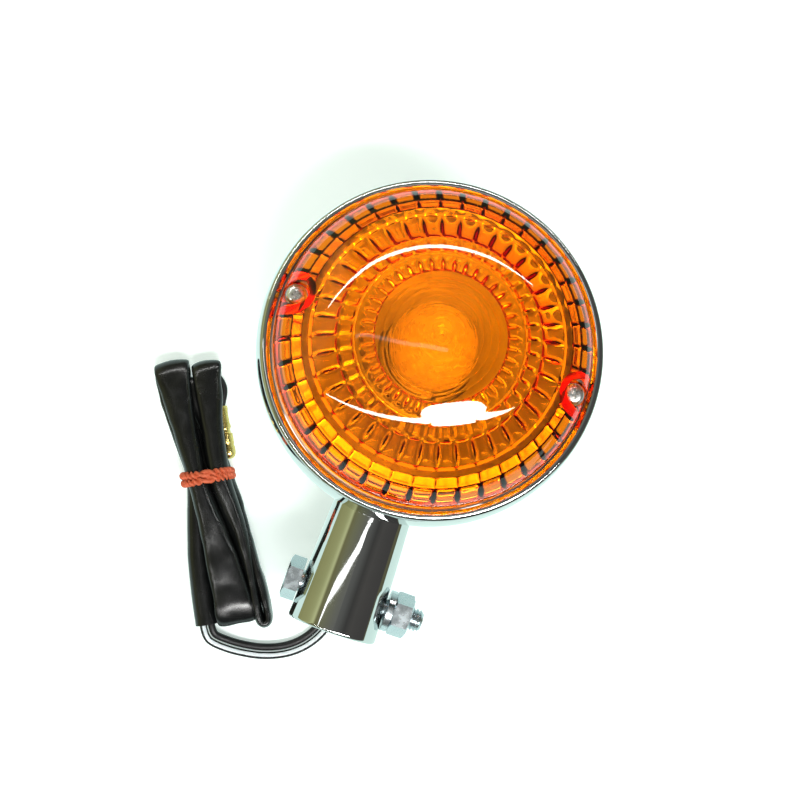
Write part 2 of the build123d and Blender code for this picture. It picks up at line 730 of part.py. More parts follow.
def wire(points, label):
    """A wire of round section along a route of straight runs and tangent arcs."""
    radii = corner_radii(points)
    with BuildPart() as tube:
        with BuildLine() as route:
            FilletPolyline(*points, radius=radii)
        path = route.wire()
        with BuildSketch(Plane(origin=path @ 0, z_dir=path % 0)):
            Circle(WIRE_R)
        sweep(path=path)
    expected = math.pi * WIRE_R**2 * path.length
    print(label, "length", round(path.length, 1), "radii", [round(r, 1) for r in radii])
    print(label, "volume", round(tube.part.volume, 1), "of", round(expected, 1))
    finish(tube.part, label)


def on_hank(along, side, height):
    """A point beside the folded sleeve, measured along it and across it."""
    point = hank.from_local_coords(Vector(along, side, height))
    return (point.X, point.Y, point.Z)


wire(
    (
        (0, 0, 10.5),
        (0, 0, 6.9),
        (0, -2.9, 4.3),
        (-0.3, -9.0, 4.2),
        (-0.6, -17.5, 6.8),
        (-1.1, -26.0, 19.0),
        (-WIRE_HALF_GAP, -33.5, STALK_Z),
        (-WIRE_HALF_GAP - 0.1, -44.5, STALK_Z),
        (-WIRE_HALF_GAP, WIRE_HOLE_Y, STALK_Z),
        (-WIRE_HALF_GAP, WIRE_HOLE_Y, GROMMET_BOTTOM_Z),
    ),
    "live_wire_inner",
)
wire(
    (
        (RIVET_X, -6.0, BARREL_Z),
        (RIVET_X, -11.5, BARREL_Z),
        (10.6, -18.8, 7.6),
        (4.6, -26.6, 18.6),
        (WIRE_HALF_GAP, -33.5, STALK_Z),
        (WIRE_HALF_GAP + 0.1, -44.5, STALK_Z),
        (WIRE_HALF_GAP, WIRE_HOLE_Y, STALK_Z),
        (WIRE_HALF_GAP, WIRE_HOLE_Y, GROMMET_BOTTOM_Z),
    ),
    "ground_wire_inner",
)

# The free stretches, from the grommet over the table to the open end of the sleeve
MOUTH_SIDE = -7.5
MOUTH_Z = 3.4
live_end = on_hank(HANK_END, MOUTH_SIDE + WIRE_HALF_GAP, MOUTH_Z)
ground_end = on_hank(HANK_END, MOUTH_SIDE - WIRE_HALF_GAP, MOUTH_Z)
wire(
    (
        (-WIRE_HALF_GAP, WIRE_HOLE_Y, GROMMET_BOTTOM_Z),
        (-WIRE_HALF_GAP, WIRE_HOLE_Y, 6.8),
        (-1.1, -60.0, 2.4),
        (-1.2, -65.6, 1.2),
        (-1.4, -72.6, 1.2),
        (-3.4, -79.2, 1.2),
        (-7.8, -84.3, 1.2),
        (-14.4, -87.5, 1.2),
        (-21.6, -88.7, 1.3),
        (-27.0, -88.6, 2.2),
        on_hank(HANK_END + 2.6, MOUTH_SIDE + WIRE_HALF_GAP, MOUTH_Z),
        live_end,
    ),
    "live_wire",
)
wire(
    (
        (WIRE_HALF_GAP, WIRE_HOLE_Y, GROMMET_BOTTOM_Z),
        (WIRE_HALF_GAP, WIRE_HOLE_Y, 6.8),
        (1.1, -60.0, 2.4),
        (1.2, -65.6, 1.2),
        (0.9, -73.2, 1.2),
        (-1.5, -80.6, 1.2),
        (-6.6, -86.3, 1.2),
        (-13.9, -89.8, 1.2),
        (-22.0, -91.1, 1.3),
        (-28.2, -90.9, 2.2),
        on_hank(HANK_END + 3.2, MOUTH_SIDE - WIRE_HALF_GAP, MOUTH_Z),
        ground_end,
    ),
    "ground_wire",
)

# The tails that leave the far end of the sleeve, each with its bullet terminal
TAIL_START = REBATE[0]
for side, label, sway in (
    (LIVE_BULLET_SIDE, "live_tail", 1.5),
    (GROUND_BULLET_SIDE, "ground_tail", 0.5),
):
    wire(
        (
            on_hank(TAIL_START, side + sway, BULLET_Z),
            on_hank(TAIL_START + 2.8, side + sway, BULLET_Z),
            on_hank(BULLET_START - 3.0, side, BULLET_Z),
            on_hank(BULLET_START, side, BULLET_Z),
        ),
        label,
    )

BULLET_GROOVE_R = 1.45
BARREL_R = 1.8
for side, label in ((LIVE_BULLET_SIDE, "live_bullet"), (GROUND_BULLET_SIDE, "ground_bullet")):
    nose = BULLET_START + BULLET_LENGTH
    with BuildPart() as bullet:
        with BuildSketch(Plane(on_hank(0, side, BULLET_Z), x_dir=hank.x_dir, z_dir=hank.y_dir)):
            with BuildLine():
                Polyline(
                    (BULLET_START, 0),
                    (BULLET_START, BARREL_R),
                    (BULLET_START + 6.0, BARREL_R),
                    (BULLET_START + 6.6, BULLET_GROOVE_R),
                    (BULLET_START + 7.6, BULLET_GROOVE_R),
                    (BULLET_START + 8.0, BULLET_R),
                    (nose - 1.8, BULLET_R),
                )
                TangentArc((nose - 1.8, BULLET_R), (nose, 0.6), tangent=(1, 0))
                Polyline((nose, 0.6), (nose, 0), (BULLET_START, 0))
            make_face()
        revolve(axis=Axis(on_hank(0, side, BULLET_Z), hank.x_dir))
    finish(bullet.part, label)

# ---------------------------------------------------------------- folded sleeve and band
# station along the hank, lower side, upper side, underside height, top height
HANK_SECTIONS = (
    (HANK_START, -9.9, 8.6, 0.0, 9.6),
    (4.0, -8.4, 6.2, 0.0, 11.0),
    (BAND_START - 0.6, -6.2, 5.9, 1.2, 12.0),
    (BAND_START + BAND_WIDTH + 0.6, -6.2, 5.9, 1.2, 12.0),
    (40.0, -9.4, 8.2, 0.0, 11.0),
    (HANK_END, -10.9, 10.8, 0.0, 9.6),
)


HANK_CORNER_R = 3.4


def hank_section(along, low, high, bottom, top):
    """Rounded section of the folded sleeve, square to its length."""
    plane = Plane(
        on_hank(along, (low + high) / 2, (bottom + top) / 2), x_dir=hank.y_dir, z_dir=hank.x_dir
    )
    with BuildSketch(plane) as section:
        RectangleRounded(high - low, top - bottom, HANK_CORNER_R)
    return section.sketch


with BuildPart() as wiring_sleeve:
    loft(sections=[hank_section(*station) for station in HANK_SECTIONS], ruled=True)
    # the hollow under one edge where the two tails and their bullets lie
    start, end, edge, height = REBATE
    with BuildSketch(hank):
        with Locations(((start + end) / 2, edge)):
            Rectangle(end - start, 20, align=(Align.CENTER, Align.MIN))
    extrude(amount=height, mode=Mode.SUBTRACT)
finish(wiring_sleeve.part, "wiring_sleeve")

BAND_OUTSIDE = (14.9, 13.3, 4.8)  # width, height and corner radius
BAND_INSIDE = (12.4, 11.2, 3.6)
BAND_MIDDLE_Z = 6.7
with BuildPart() as rubber_band:
    band_plane = Plane(
        on_hank(BAND_START, -0.15, BAND_MIDDLE_Z), x_dir=hank.y_dir, z_dir=hank.x_dir
    )
    with BuildSketch(band_plane):
        RectangleRounded(*BAND_OUTSIDE)
        RectangleRounded(*BAND_INSIDE, mode=Mode.SUBTRACT)
    extrude(amount=BAND_WIDTH)
finish(rubber_band.part, "rubber_band")
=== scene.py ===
"""The looks of a motorcycle turn signal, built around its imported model.

Lengths are written in millimetres and turned to metres by MM. The lens looks up +Z, the stalk
points along -Y, and the wiring lies in a hank beside them on the table.
"""

import json
import math
from functools import partial

import bmesh
import bpy
from mathutils import Matrix, Vector, noise


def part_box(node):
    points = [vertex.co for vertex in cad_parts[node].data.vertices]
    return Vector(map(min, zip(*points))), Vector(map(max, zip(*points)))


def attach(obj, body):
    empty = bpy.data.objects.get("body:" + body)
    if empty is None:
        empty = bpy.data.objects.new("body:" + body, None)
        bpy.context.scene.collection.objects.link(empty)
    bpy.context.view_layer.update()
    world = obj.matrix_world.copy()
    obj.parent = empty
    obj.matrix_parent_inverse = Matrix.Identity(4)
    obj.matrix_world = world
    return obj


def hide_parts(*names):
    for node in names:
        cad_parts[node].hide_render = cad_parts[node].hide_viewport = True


MM = 0.001
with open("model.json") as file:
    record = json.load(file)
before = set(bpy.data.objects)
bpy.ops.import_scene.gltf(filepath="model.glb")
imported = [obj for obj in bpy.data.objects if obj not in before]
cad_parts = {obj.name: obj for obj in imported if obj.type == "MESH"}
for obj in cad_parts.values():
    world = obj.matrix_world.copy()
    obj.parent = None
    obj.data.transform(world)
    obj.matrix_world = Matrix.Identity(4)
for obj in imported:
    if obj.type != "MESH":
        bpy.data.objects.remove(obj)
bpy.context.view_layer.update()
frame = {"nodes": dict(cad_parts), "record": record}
scene = bpy.context.scene
scene.view_settings.view_transform = "Standard"


# ---------------------------------------------------------------- camera, table and light

def camera():
    """The photographer's view, from 328 mm up and nearly straight down. Returns its axes:
    right, up, and back towards the photographer."""
    place = Vector((-13.945, -49.313, 328.130)) * MM
    ahead = Vector((0.03629, 0.11973, -0.99214)).normalized()
    right = ahead.cross(Vector((-0.33541, 0.93667, 0.10077))).normalized()
    up = right.cross(ahead)
    data = bpy.data.cameras.new("photo_view")
    data.lens = 52.04
    data.sensor_width = 36.0
    data.clip_start = 0.01
    eye = bpy.data.objects.new("photo_view", data)
    turn = Matrix((right, up, -ahead)).transposed()
    eye.matrix_world = Matrix.Translation(place) @ turn.to_4x4()
    scene.collection.objects.link(eye)
    scene.camera = eye
    return right, up, -ahead


def add_node(tree, kind, **values):
    """A node with its settings and its unlinked sockets filled in."""
    node = tree.nodes.new(kind)
    for name, value in values.items():
        if hasattr(node, name):
            setattr(node, name, value)
        else:
            node.inputs[name].default_value = value
    return node


PAPER = (0.80, 0.86, 0.84, 1.0)          # the table's white sheet, a little cool
PAPER_GRAIN = (0.83, 0.88, 0.865, 1.0)
PAINTED_OLIVE_REFLECTION = (0.34, 0.34, 0.15)          # painted reflection: olive that glossy rays see past the sheet's left edge
DARK_ROOM = (0.07, 0.066, 0.064)         # the room's dark side, which the chrome mirrors on its right
PAINTED_DARK_REFLECTION = (0.13, 0.125, 0.075)        # painted reflection: dark that glossy rays see past the sheet's other edges
PAINTED_SHEET_REFLECTION = (0.86, 1.10, 1.03)      # painted reflection: the fixed colour glossy rays see on the sheet, instead of its lit colour
# Where the sheet ends for glossy rays only: past these they see painted reflection colours, while
# the camera sees the sheet run on.
SHEET_LEFT, SHEET_RIGHT, SHEET_FAR = -150.0, 400.0, 130.0
NOTCH_LEFT, NOTCH_NEAR = 130.0, -60.0    # a corner right of the lamp where glossy rays see the painted dark reflection; the sheet itself is whole
TABLE_HALF = 2.5                         # metres


def compare(tree, value, operation, limit):
    """1 where the value is past the limit, else 0."""
    test = add_node(tree, "ShaderNodeMath", operation=operation)
    test.inputs[1].default_value = limit
    tree.links.new(value, test.inputs[0])
    return test.outputs[0]


def painted_reflection_edges(tree, position):
    """Two masks for the painted reflection: past the sheet's left edge, and past any of its edges.
    """
    split = add_node(tree, "ShaderNodeSeparateXYZ")
    tree.links.new(position, split.inputs[0])
    x, y = split.outputs["X"], split.outputs["Y"]
    past_left = compare(tree, x, "LESS_THAN", SHEET_LEFT * MM)
    notch = add_node(tree, "ShaderNodeMath", operation="MULTIPLY")
    tree.links.new(compare(tree, x, "GREATER_THAN", NOTCH_LEFT * MM), notch.inputs[0])
    tree.links.new(compare(tree, y, "GREATER_THAN", NOTCH_NEAR * MM), notch.inputs[1])
    past_right = compare(tree, x, "GREATER_THAN", SHEET_RIGHT * MM)
    past_far = compare(tree, y, "GREATER_THAN", SHEET_FAR * MM)
    off_sheet = past_left
    for more in (past_right, past_far, notch.outputs[0]):
        join = add_node(tree, "ShaderNodeMath", operation="MAXIMUM")
        tree.links.new(off_sheet, join.inputs[0])
        tree.links.new(more, join.inputs[1])
        off_sheet = join.outputs[0]
    return past_left, off_sheet


def table():
    """A wide pale sheet, lit, with an even glow of its own. Glossy rays see painted reflection
    colours instead: pale aqua on the sheet, olive past its left edge, dark past the others.
    """
    mesh = bpy.data.meshes.new("table_sheet")
    corners = [(x * TABLE_HALF, y * TABLE_HALF, 0) for x, y in ((-1, -1), (1, -1), (1, 1), (-1, 1))]
    mesh.from_pydata(corners, [], [(0, 1, 2, 3)])
    sheet = bpy.data.objects.new("table_sheet", mesh)
    scene.collection.objects.link(sheet)
    paper = bpy.data.materials.new("paper_with_painted_reflection")
    paper.use_nodes = True
    tree = paper.node_tree
    tree.nodes.clear()
    where = add_node(tree, "ShaderNodeNewGeometry")
    past_left, off_sheet = painted_reflection_edges(tree, where.outputs["Position"])
    path = add_node(tree, "ShaderNodeLightPath")
    grain = add_node(tree, "ShaderNodeTexNoise", Scale=900.0, Detail=3.0)
    tree.links.new(where.outputs["Position"], grain.inputs["Vector"])
    tint = add_node(tree, "ShaderNodeMix", data_type="RGBA")
    tint.inputs["A"].default_value = PAPER
    tint.inputs["B"].default_value = PAPER_GRAIN
    tree.links.new(grain.outputs["Fac"], tint.inputs["Factor"])
    diffuse = add_node(tree, "ShaderNodeBsdfDiffuse")
    tree.links.new(tint.outputs["Result"], diffuse.inputs["Color"])
    glow = add_node(tree, "ShaderNodeEmission", Color=(0.86, 1.0, 0.955, 1.0), Strength=0.45)
    lit = add_node(tree, "ShaderNodeAddShader")
    tree.links.new(diffuse.outputs[0], lit.inputs[0])
    tree.links.new(glow.outputs[0], lit.inputs[1])
    # Painted reflection: glossy rays see fixed emitted colours instead of the lit paper: pale aqua
    # on the sheet, olive past its left edge, dark past its other edges.
    edge_reflection_paint = add_node(tree, "ShaderNodeMix", data_type="RGBA")
    edge_reflection_paint.inputs["A"].default_value = (*PAINTED_DARK_REFLECTION, 1.0)
    edge_reflection_paint.inputs["B"].default_value = (*PAINTED_OLIVE_REFLECTION, 1.0)
    tree.links.new(past_left, edge_reflection_paint.inputs["Factor"])
    painted_reflection_colour = add_node(tree, "ShaderNodeMix", data_type="RGBA")
    painted_reflection_colour.inputs["A"].default_value = (*PAINTED_SHEET_REFLECTION, 1.0)
    tree.links.new(off_sheet, painted_reflection_colour.inputs["Factor"])
    tree.links.new(edge_reflection_paint.outputs["Result"], painted_reflection_colour.inputs["B"])
    painted_reflection_glow = add_node(tree, "ShaderNodeEmission", Strength=1.0)
    tree.links.new(painted_reflection_colour.outputs["Result"], painted_reflection_glow.inputs["Color"])
    choose = add_node(tree, "ShaderNodeMixShader")
    tree.links.new(path.outputs["Is Glossy Ray"], choose.inputs[0])
    tree.links.new(lit.outputs[0], choose.inputs[1])
    tree.links.new(painted_reflection_glow.outputs[0], choose.inputs[2])
    out = add_node(tree, "ShaderNodeOutputMaterial")
    tree.links.new(choose.outputs[0], out.inputs[0])
    mesh.materials.append(paper)


def room():
    """The room round the table: olive on the left, dark on the right.

    The camera itself sees a plain pale backdrop, and rays that have come out through glass or
    amber see a glow that is brightest high up, a little towards the viewer."""
    GLOW_TOWARDS = Vector((0.12, -0.32, 0.94)).normalized()
    GLOW_RANGE = {"From Min": 0.80, "From Max": 0.99, "To Min": 1.5, "To Max": 6.5}
    world = bpy.data.worlds.new("studio")
    scene.world = world
    world.use_nodes = True
    tree = world.node_tree
    tree.nodes.clear()
    where = add_node(tree, "ShaderNodeTexCoord")
    split = add_node(tree, "ShaderNodeSeparateXYZ")
    tree.links.new(where.outputs["Generated"], split.inputs[0])
    side = add_node(tree, "ShaderNodeValToRGB")
    across = add_node(tree, "ShaderNodeMapRange")
    across.inputs["From Min"].default_value = -1.0
    tree.links.new(split.outputs["X"], across.inputs["Value"])
    tree.links.new(across.outputs[0], side.inputs[0])
    stops = (
        (0.000, (0.36, 0.36, 0.16)),
        (0.050, (0.42, 0.43, 0.20)),
        (0.100, (0.60, 0.62, 0.32)),
        (0.135, (0.20, 0.19, 0.09)),
        (0.230, (0.20, 0.20, 0.12)),
        (0.500, (0.16, 0.16, 0.15)),
        (0.620, (0.11, 0.11, 0.105)),
        (0.740, (0.06, 0.058, 0.056)),
        (0.850, (0.085, 0.08, 0.076)),
        (1.000, DARK_ROOM),
    )
    ramp = side.color_ramp
    ramp.elements[0].position, ramp.elements[1].position = stops[0][0], stops[-1][0]
    ramp.elements[0].color, ramp.elements[1].color = (*stops[0][1], 1), (*stops[-1][1], 1)
    for place, colour in stops[1:-1]:
        ramp.elements.new(place).color = (*colour, 1)
    mirrored = add_node(tree, "ShaderNodeBackground", Strength=1.0)
    tree.links.new(side.outputs[0], mirrored.inputs["Color"])
    backdrop = add_node(tree, "ShaderNodeBackground", Color=(0.93, 1.0, 0.985, 1.0), Strength=1.0)
    path = add_node(tree, "ShaderNodeLightPath")
    towards = add_node(tree, "ShaderNodeVectorMath", operation="DOT_PRODUCT")
    tree.links.new(where.outputs["Generated"], towards.inputs[0])
    towards.inputs[1].default_value = GLOW_TOWARDS
    lobe = add_node(tree, "ShaderNodeMapRange", interpolation_type="SMOOTHSTEP")
    for name, number in GLOW_RANGE.items():
        lobe.inputs[name].default_value = number
    tree.links.new(towards.outputs["Value"], lobe.inputs["Value"])
    through = add_node(tree, "ShaderNodeBackground", Color=(1.0, 0.98, 0.9, 1.0))
    tree.links.new(lobe.outputs[0], through.inputs["Strength"])
    inside = add_node(tree, "ShaderNodeMixShader")
    tree.links.new(path.outputs["Is Transmission Ray"], inside.inputs[0])
    tree.links.new(mirrored.outputs[0], inside.inputs[1])
    tree.links.new(through.outputs[0], inside.inputs[2])
    choose = add_node(tree, "ShaderNodeMixShader")
    tree.links.new(path.outputs["Is Camera Ray"], choose.inputs[0])
    tree.links.new(inside.outputs[0], choose.inputs[1])
    tree.links.new(backdrop.outputs[0], choose.inputs[2])
    out = add_node(tree, "ShaderNodeOutputWorld")
    tree.links.new(choose.outputs[0], out.inputs[0])


def ribbon_light(name, spine, radiance):
    """A glowing band along a smooth line of (place, half width). The camera doesn't see it."""
    STEPS = 8
    THINNEST = 0.001
    stops = [spine[0], *spine, spine[-1]]
    places, widths = [], []
    for i in range(len(spine) - 1):
        (a, wa), (b, wb), (c, wc), (d, wd) = stops[i:i + 4]
        for j in range(STEPS + (i == len(spine) - 2)):
            t = j / STEPS
            fa, fb = -0.5 * t + t * t - 0.5 * t ** 3, 1 - 2.5 * t * t + 1.5 * t ** 3
            fc, fd = 0.5 * t + 2 * t * t - 1.5 * t ** 3, -0.5 * t * t + 0.5 * t ** 3
            places.append(a * fa + b * fb + c * fc + d * fd)
            widths.append(wa * fa + wb * fb + wc * fc + wd * fd)
    points = []
    for place, wide, ahead in zip(places, widths, tangents(places)):
        side = ahead.cross(place).normalized() * max(wide, THINNEST)
        points += [place - side, place + side]
    band = mesh_object(name, points, grid_faces(len(places), 2, close_columns=False))
    glow = bpy.data.materials.new(name)
    glow.use_nodes = True
    tree = glow.node_tree
    tree.nodes.clear()
    shine = add_node(tree, "ShaderNodeEmission", Color=(1.0, 1.0, 0.98, 1.0), Strength=radiance)
    out = add_node(tree, "ShaderNodeOutputMaterial")
    tree.links.new(shine.outputs[0], out.inputs[0])
    band.data.materials.append(glow)
    band.visible_camera = False


def lights(right, up, back):
    """Two bent softboxes, above and below the picture, and a thin one overhead for the stalk.

    A softbox's places are metres to the right of and above the lens's top as the camera sees
    it, with half the band's width. The gap's are x and y over the table."""
    SOFTBOX, GAP = 30.0, 2.2             # radiance
    FAR_BACK, NEAR_BACK = 0.55, 1.0      # how far from the lens's top, towards the camera
    GAP_HEIGHT, GAP_HALF = 1.06, 0.018
    lens_top = Vector((0, 0, 62 * MM))

    def softbox(name, places, nearer):
        spine = [(lens_top + right * x + up * y + back * nearer, wide) for x, y, wide in places]
        ribbon_light(name, spine, SOFTBOX)

    far = (
        (-0.73, 0.45, 0.004), (-0.55, 0.66, 0.012), (-0.33, 0.86, 0.018), (0.12, 1.05, 0.020),
        (0.69, 1.10, 0.018), (1.10, 1.06, 0.012), (1.50, 1.05, 0.004),
    )
    softbox("softbox_far", far, FAR_BACK)
    near = (
        (-1.21, -0.37, 0.006), (-0.78, -0.46, 0.014), (-0.31, -0.53, 0.020), (0.0, -0.55, 0.035),
        (0.08, -0.50, 0.10), (0.35, -0.49, 0.12), (0.58, -0.50, 0.11), (0.68, -0.56, 0.05),
        (1.0, -0.57, 0.022), (1.22, -0.55, 0.006),
    )
    softbox("softbox_near", near, NEAR_BACK)
    gap = (
        (0.14, 0.065), (-0.06, 0.034), (-0.214, 0.003), (-0.50, -0.022), (-0.685, -0.037),
        (-0.80, -0.080),
    )
    spine = [(Vector((x, y, GAP_HEIGHT)), GAP_HALF) for x, y in gap]
    ribbon_light("ceiling_gap", spine, GAP)


# ---------------------------------------------------------------- materials

def coordinates(tree):
    return add_node(tree, "ShaderNodeTexCoord").outputs["Object"]


def noise_field(tree, scale, detail=4.0, roughness=0.55):
    field = add_node(tree, "ShaderNodeTexNoise", Scale=scale, Detail=detail, Roughness=roughness)
    tree.links.new(coordinates(tree), field.inputs["Vector"])
    return field.outputs["Fac"]


def spread(tree, value, low, high):
    """A field's middle range mapped to low..high."""
    mapped = add_node(tree, "ShaderNodeMapRange")
    for name, number in (("From Min", 0.3), ("From Max", 0.7), ("To Min", low), ("To Max", high)):
        mapped.inputs[name].default_value = number
    tree.links.new(value, mapped.inputs["Value"])
    return mapped.outputs[0]


def surface(name, colours, roughness, metallic, scale, bump=0.0, bump_scale=0.0, **sockets):
    """A principled material whose colour and gloss wander between two values.

    scale and bump_scale are how fine the wander and the relief are, in waves to the metre."""
    GLOSS_FINER = 1.7
    RELIEF = 0.1 * MM
    finish = bpy.data.materials.new(name)
    finish.use_nodes = True
    tree = finish.node_tree
    shader = tree.nodes["Principled BSDF"]
    shader.inputs["Metallic"].default_value = metallic
    for socket, value in sockets.items():
        shader.inputs[socket.replace("_", " ")].default_value = value
    if colours[0] == colours[1]:
        shader.inputs["Base Color"].default_value = (*colours[0], 1.0)
    else:
        tint = add_node(tree, "ShaderNodeMix", data_type="RGBA")
        tint.inputs["A"].default_value = (*colours[0], 1.0)
        tint.inputs["B"].default_value = (*colours[1], 1.0)
        tree.links.new(spread(tree, noise_field(tree, scale), 0.0, 1.0), tint.inputs["Factor"])
        tree.links.new(tint.outputs["Result"], shader.inputs["Base Color"])
    gloss = spread(tree, noise_field(tree, scale * GLOSS_FINER), *roughness)
    tree.links.new(gloss, shader.inputs["Roughness"])
    if bump:
        relief = add_node(tree, "ShaderNodeBump", Strength=bump, Distance=RELIEF)
        tree.links.new(noise_field(tree, bump_scale), relief.inputs["Height"])
        tree.links.new(relief.outputs[0], shader.inputs["Normal"])
    return finish


def amber_plastic():
    """Clear amber acrylic with faint flow marks from moulding: it reddens as it gets thicker."""
    TINT = (1.0, 0.76, 0.22)
    DEEP, DENSITY = (1.0, 0.78, 0.0, 1.0), 800.0
    finish = surface(
        "amber_acrylic", (TINT, TINT), (0.0, 0.012), 0.0, 90.0, 0.02, 260.0,
        Transmission_Weight=1.0, IOR=1.49,
    )
    tree = finish.node_tree
    depth = add_node(tree, "ShaderNodeVolumeAbsorption", Color=DEEP, Density=DENSITY)
    tree.links.new(depth.outputs[0], tree.nodes["Material Output"].inputs["Volume"])
    return finish


# slot, name, the two colours, the range of roughness, metallic, scale, bump, bump scale
FINISH_TABLE = (
    ("chrome", "chrome_plate",
     (0.66, 0.69, 0.685), (0.70, 0.725, 0.72), (0.015, 0.05), 1.0, 120.0, 0.012, 500.0),
    ("zinc_plate", "zinc_plating",
     (0.58, 0.65, 0.69), (0.64, 0.71, 0.74), (0.20, 0.32), 1.0, 300.0, 0.05, 900.0),
    ("lens_screw_steel", "screw_plating",
     (0.82, 0.82, 0.80), (0.90, 0.90, 0.88), (0.24, 0.36), 1.0, 500.0, 0.05, 1500.0),
    ("bright_reflector", "vacuum_plated_dish",
     (0.66, 0.66, 0.65), (0.72, 0.72, 0.71), (0.10, 0.22), 1.0, 160.0, 0.30, 420.0),
    ("plain_steel", "plain_steel",
     (0.42, 0.42, 0.41), (0.56, 0.56, 0.55), (0.28, 0.45), 1.0, 600.0, 0.12, 1500.0),
    ("spring_steel", "spring_steel",
     (0.34, 0.34, 0.35), (0.46, 0.46, 0.47), (0.25, 0.40), 1.0, 800.0, 0.10, 1600.0),
    ("black_rubber", "black_rubber",
     (0.012, 0.012, 0.013), (0.022, 0.022, 0.022), (0.45, 0.65), 0.0, 900.0, 0.25, 2500.0),
    ("cream_rubber", "cream_gasket",
     (0.74, 0.64, 0.42), (0.84, 0.75, 0.54), (0.45, 0.65), 0.0, 500.0, 0.15, 1800.0),
    ("red_rubber", "rust_red_cord",
     (0.46, 0.075, 0.025), (0.60, 0.12, 0.045), (0.50, 0.70), 0.0, 1500.0, 0.4, 5200.0),
    ("brass", "brass",
     (0.72, 0.53, 0.16), (0.86, 0.68, 0.26), (0.16, 0.32), 1.0, 900.0, 0.12, 2400.0),
    ("bulb_cap_metal", "nickelled_brass_cap",
     (0.60, 0.57, 0.48), (0.72, 0.69, 0.60), (0.18, 0.32), 1.0, 500.0, 0.10, 1500.0),
    ("solder", "solder",
     (0.55, 0.55, 0.54), (0.70, 0.70, 0.69), (0.25, 0.5), 1.0, 900.0, 0.4, 1200.0),
    ("bulb_glass", "bulb_glass",
     (1.0, 1.0, 0.97), (1.0, 1.0, 0.97), (0.24, 0.32), 0.0, 200.0, 0.0, 0.0),
    ("black_glass", "black_glass",
     (0.010, 0.010, 0.014), (0.020, 0.018, 0.026), (0.05, 0.15), 0.0, 700.0, 0.05, 2100.0),
    ("tungsten", "tungsten",
     (0.30, 0.30, 0.32), (0.40, 0.40, 0.42), (0.35, 0.5), 1.0, 2500.0, 0.1, 7500.0),
    ("brown_fibre", "brown_fibre",
     (0.13, 0.060, 0.025), (0.20, 0.100, 0.045), (0.55, 0.75), 0.0, 1200.0, 0.4, 3500.0),
    ("black_sleeve", "sleeve_vinyl",
     (0.0028, 0.0032, 0.0034), (0.0052, 0.0058, 0.006), (0.20, 0.29), 0.0, 150.0, 0.03, 500.0),
    ("black_wire", "wire_vinyl",
     (0.003, 0.003, 0.0035), (0.006, 0.006, 0.007), (0.42, 0.55), 0.0, 500.0, 0.04, 1200.0),
    ("striped_wire", "striped_wire_vinyl",
     (0.003, 0.003, 0.005), (0.006, 0.006, 0.009), (0.42, 0.55), 0.0, 500.0, 0.04, 1200.0),
)
# what some of them need besides
MORE_SOCKETS = {
    "bulb_glass": {"Transmission_Weight": 0.35, "IOR": 1.46},
    "black_sleeve": {"IOR": 1.50},
    "black_wire": {"IOR": 1.46},
    "striped_wire": {"IOR": 1.46},
}


def all_finishes():
    """One material for each slot of the record."""
    finishes = {"amber_lens": amber_plastic()}
    for slot, name, first, second, roughness, *rest in FINISH_TABLE:
        more = MORE_SOCKETS.get(slot, {})
        finishes[slot] = surface(name, (first, second), roughness, *rest, **more)
    return finishes


# ---------------------------------------------------------------- mesh helpers

def mesh_object(name, points, faces):
    mesh = bpy.data.meshes.new(name)
    mesh.from_pydata([tuple(p) for p in points], [], faces)
    mesh.validate()
    made = bpy.data.objects.new(name, mesh)
    scene.collection.objects.link(made)
    return made


def soften(piece, degrees=32.0):
    """Outward normals, and smooth shading but where faces meet at more than the given angle."""
    shape = bmesh.new()
    shape.from_mesh(piece.data)
    bmesh.ops.recalc_face_normals(shape, faces=shape.faces)
    limit = math.radians(degrees)
    for face in shape.faces:
        face.smooth = True
    for edge in shape.edges:
        edge.smooth = len(edge.link_faces) == 2 and edge.calc_face_angle(0.0) < limit
    shape.to_mesh(piece.data)
    shape.free()
    return piece


def dress(piece, slot, body="root"):
    """Gives a piece the material for a slot, and the body that it rides on."""
    piece.data.materials.clear()
    piece.data.materials.append(FINISHES[slot])
    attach(piece, body)
    return piece


def grid_faces(rows, columns, close_columns=True):
    """Quads between neighbouring rows of a grid of points."""
    faces = []
    last = columns if close_columns else columns - 1
    for i in range(rows - 1):
        here, above = i * columns, (i + 1) * columns
        for j in range(last):
            k = (j + 1) % columns
            faces.append((here + j, here + k, above + k, above + j))
    return faces


def looped_faces(rows, columns):
    """The same, with the last row joined to the first."""
    last = (rows - 1) * columns
    seam = [(last + j, last + (j + 1) % columns, (j + 1) % columns, j) for j in range(columns)]
    return grid_faces(rows, columns) + seam


def capped_faces(rows, columns):
    """The same, with a face over the first and the last row instead."""
    last = (rows - 1) * columns
    caps = [tuple(range(columns)), tuple(range(last, last + columns))]
    return grid_faces(rows, columns) + caps


def circle(around, radius, height, place):
    """Points round Z, moved to place. radius and height may each be a function of the angle."""
    points = []
    for j in range(around):
        angle = 2 * math.pi * j / around
        r = radius(angle) if callable(radius) else radius
        h = height(angle) if callable(height) else height
        points.append(place @ (Vector((r * math.cos(angle), r * math.sin(angle), h)) * MM))
    return points


def turned(name, outline, around, place):
    """A body of revolution about Z. outline is (radius, height) pairs in mm, both ends on the
    axis; a radius may be a function of the angle."""
    inner = outline[1:-1]
    points = []
    for radius, height in inner:
        points += circle(around, radius, height, place)
    faces = grid_faces(len(inner), around)
    pole = len(points)
    for end in (outline[0], outline[-1]):
        points.append(place @ (Vector((0, 0, end[1])) * MM))
    last = pole - around
    for j in range(around):
        k = (j + 1) % around
        faces.append((pole, k, j))
        faces.append((pole + 1, last + j, last + k))
    return soften(mesh_object(name, points, faces))


def moved(x, y, z):
    """A shift in millimetres."""
    return Matrix.Translation(Vector((x, y, z)) * MM)


# ---------------------------------------------------------------- wiring

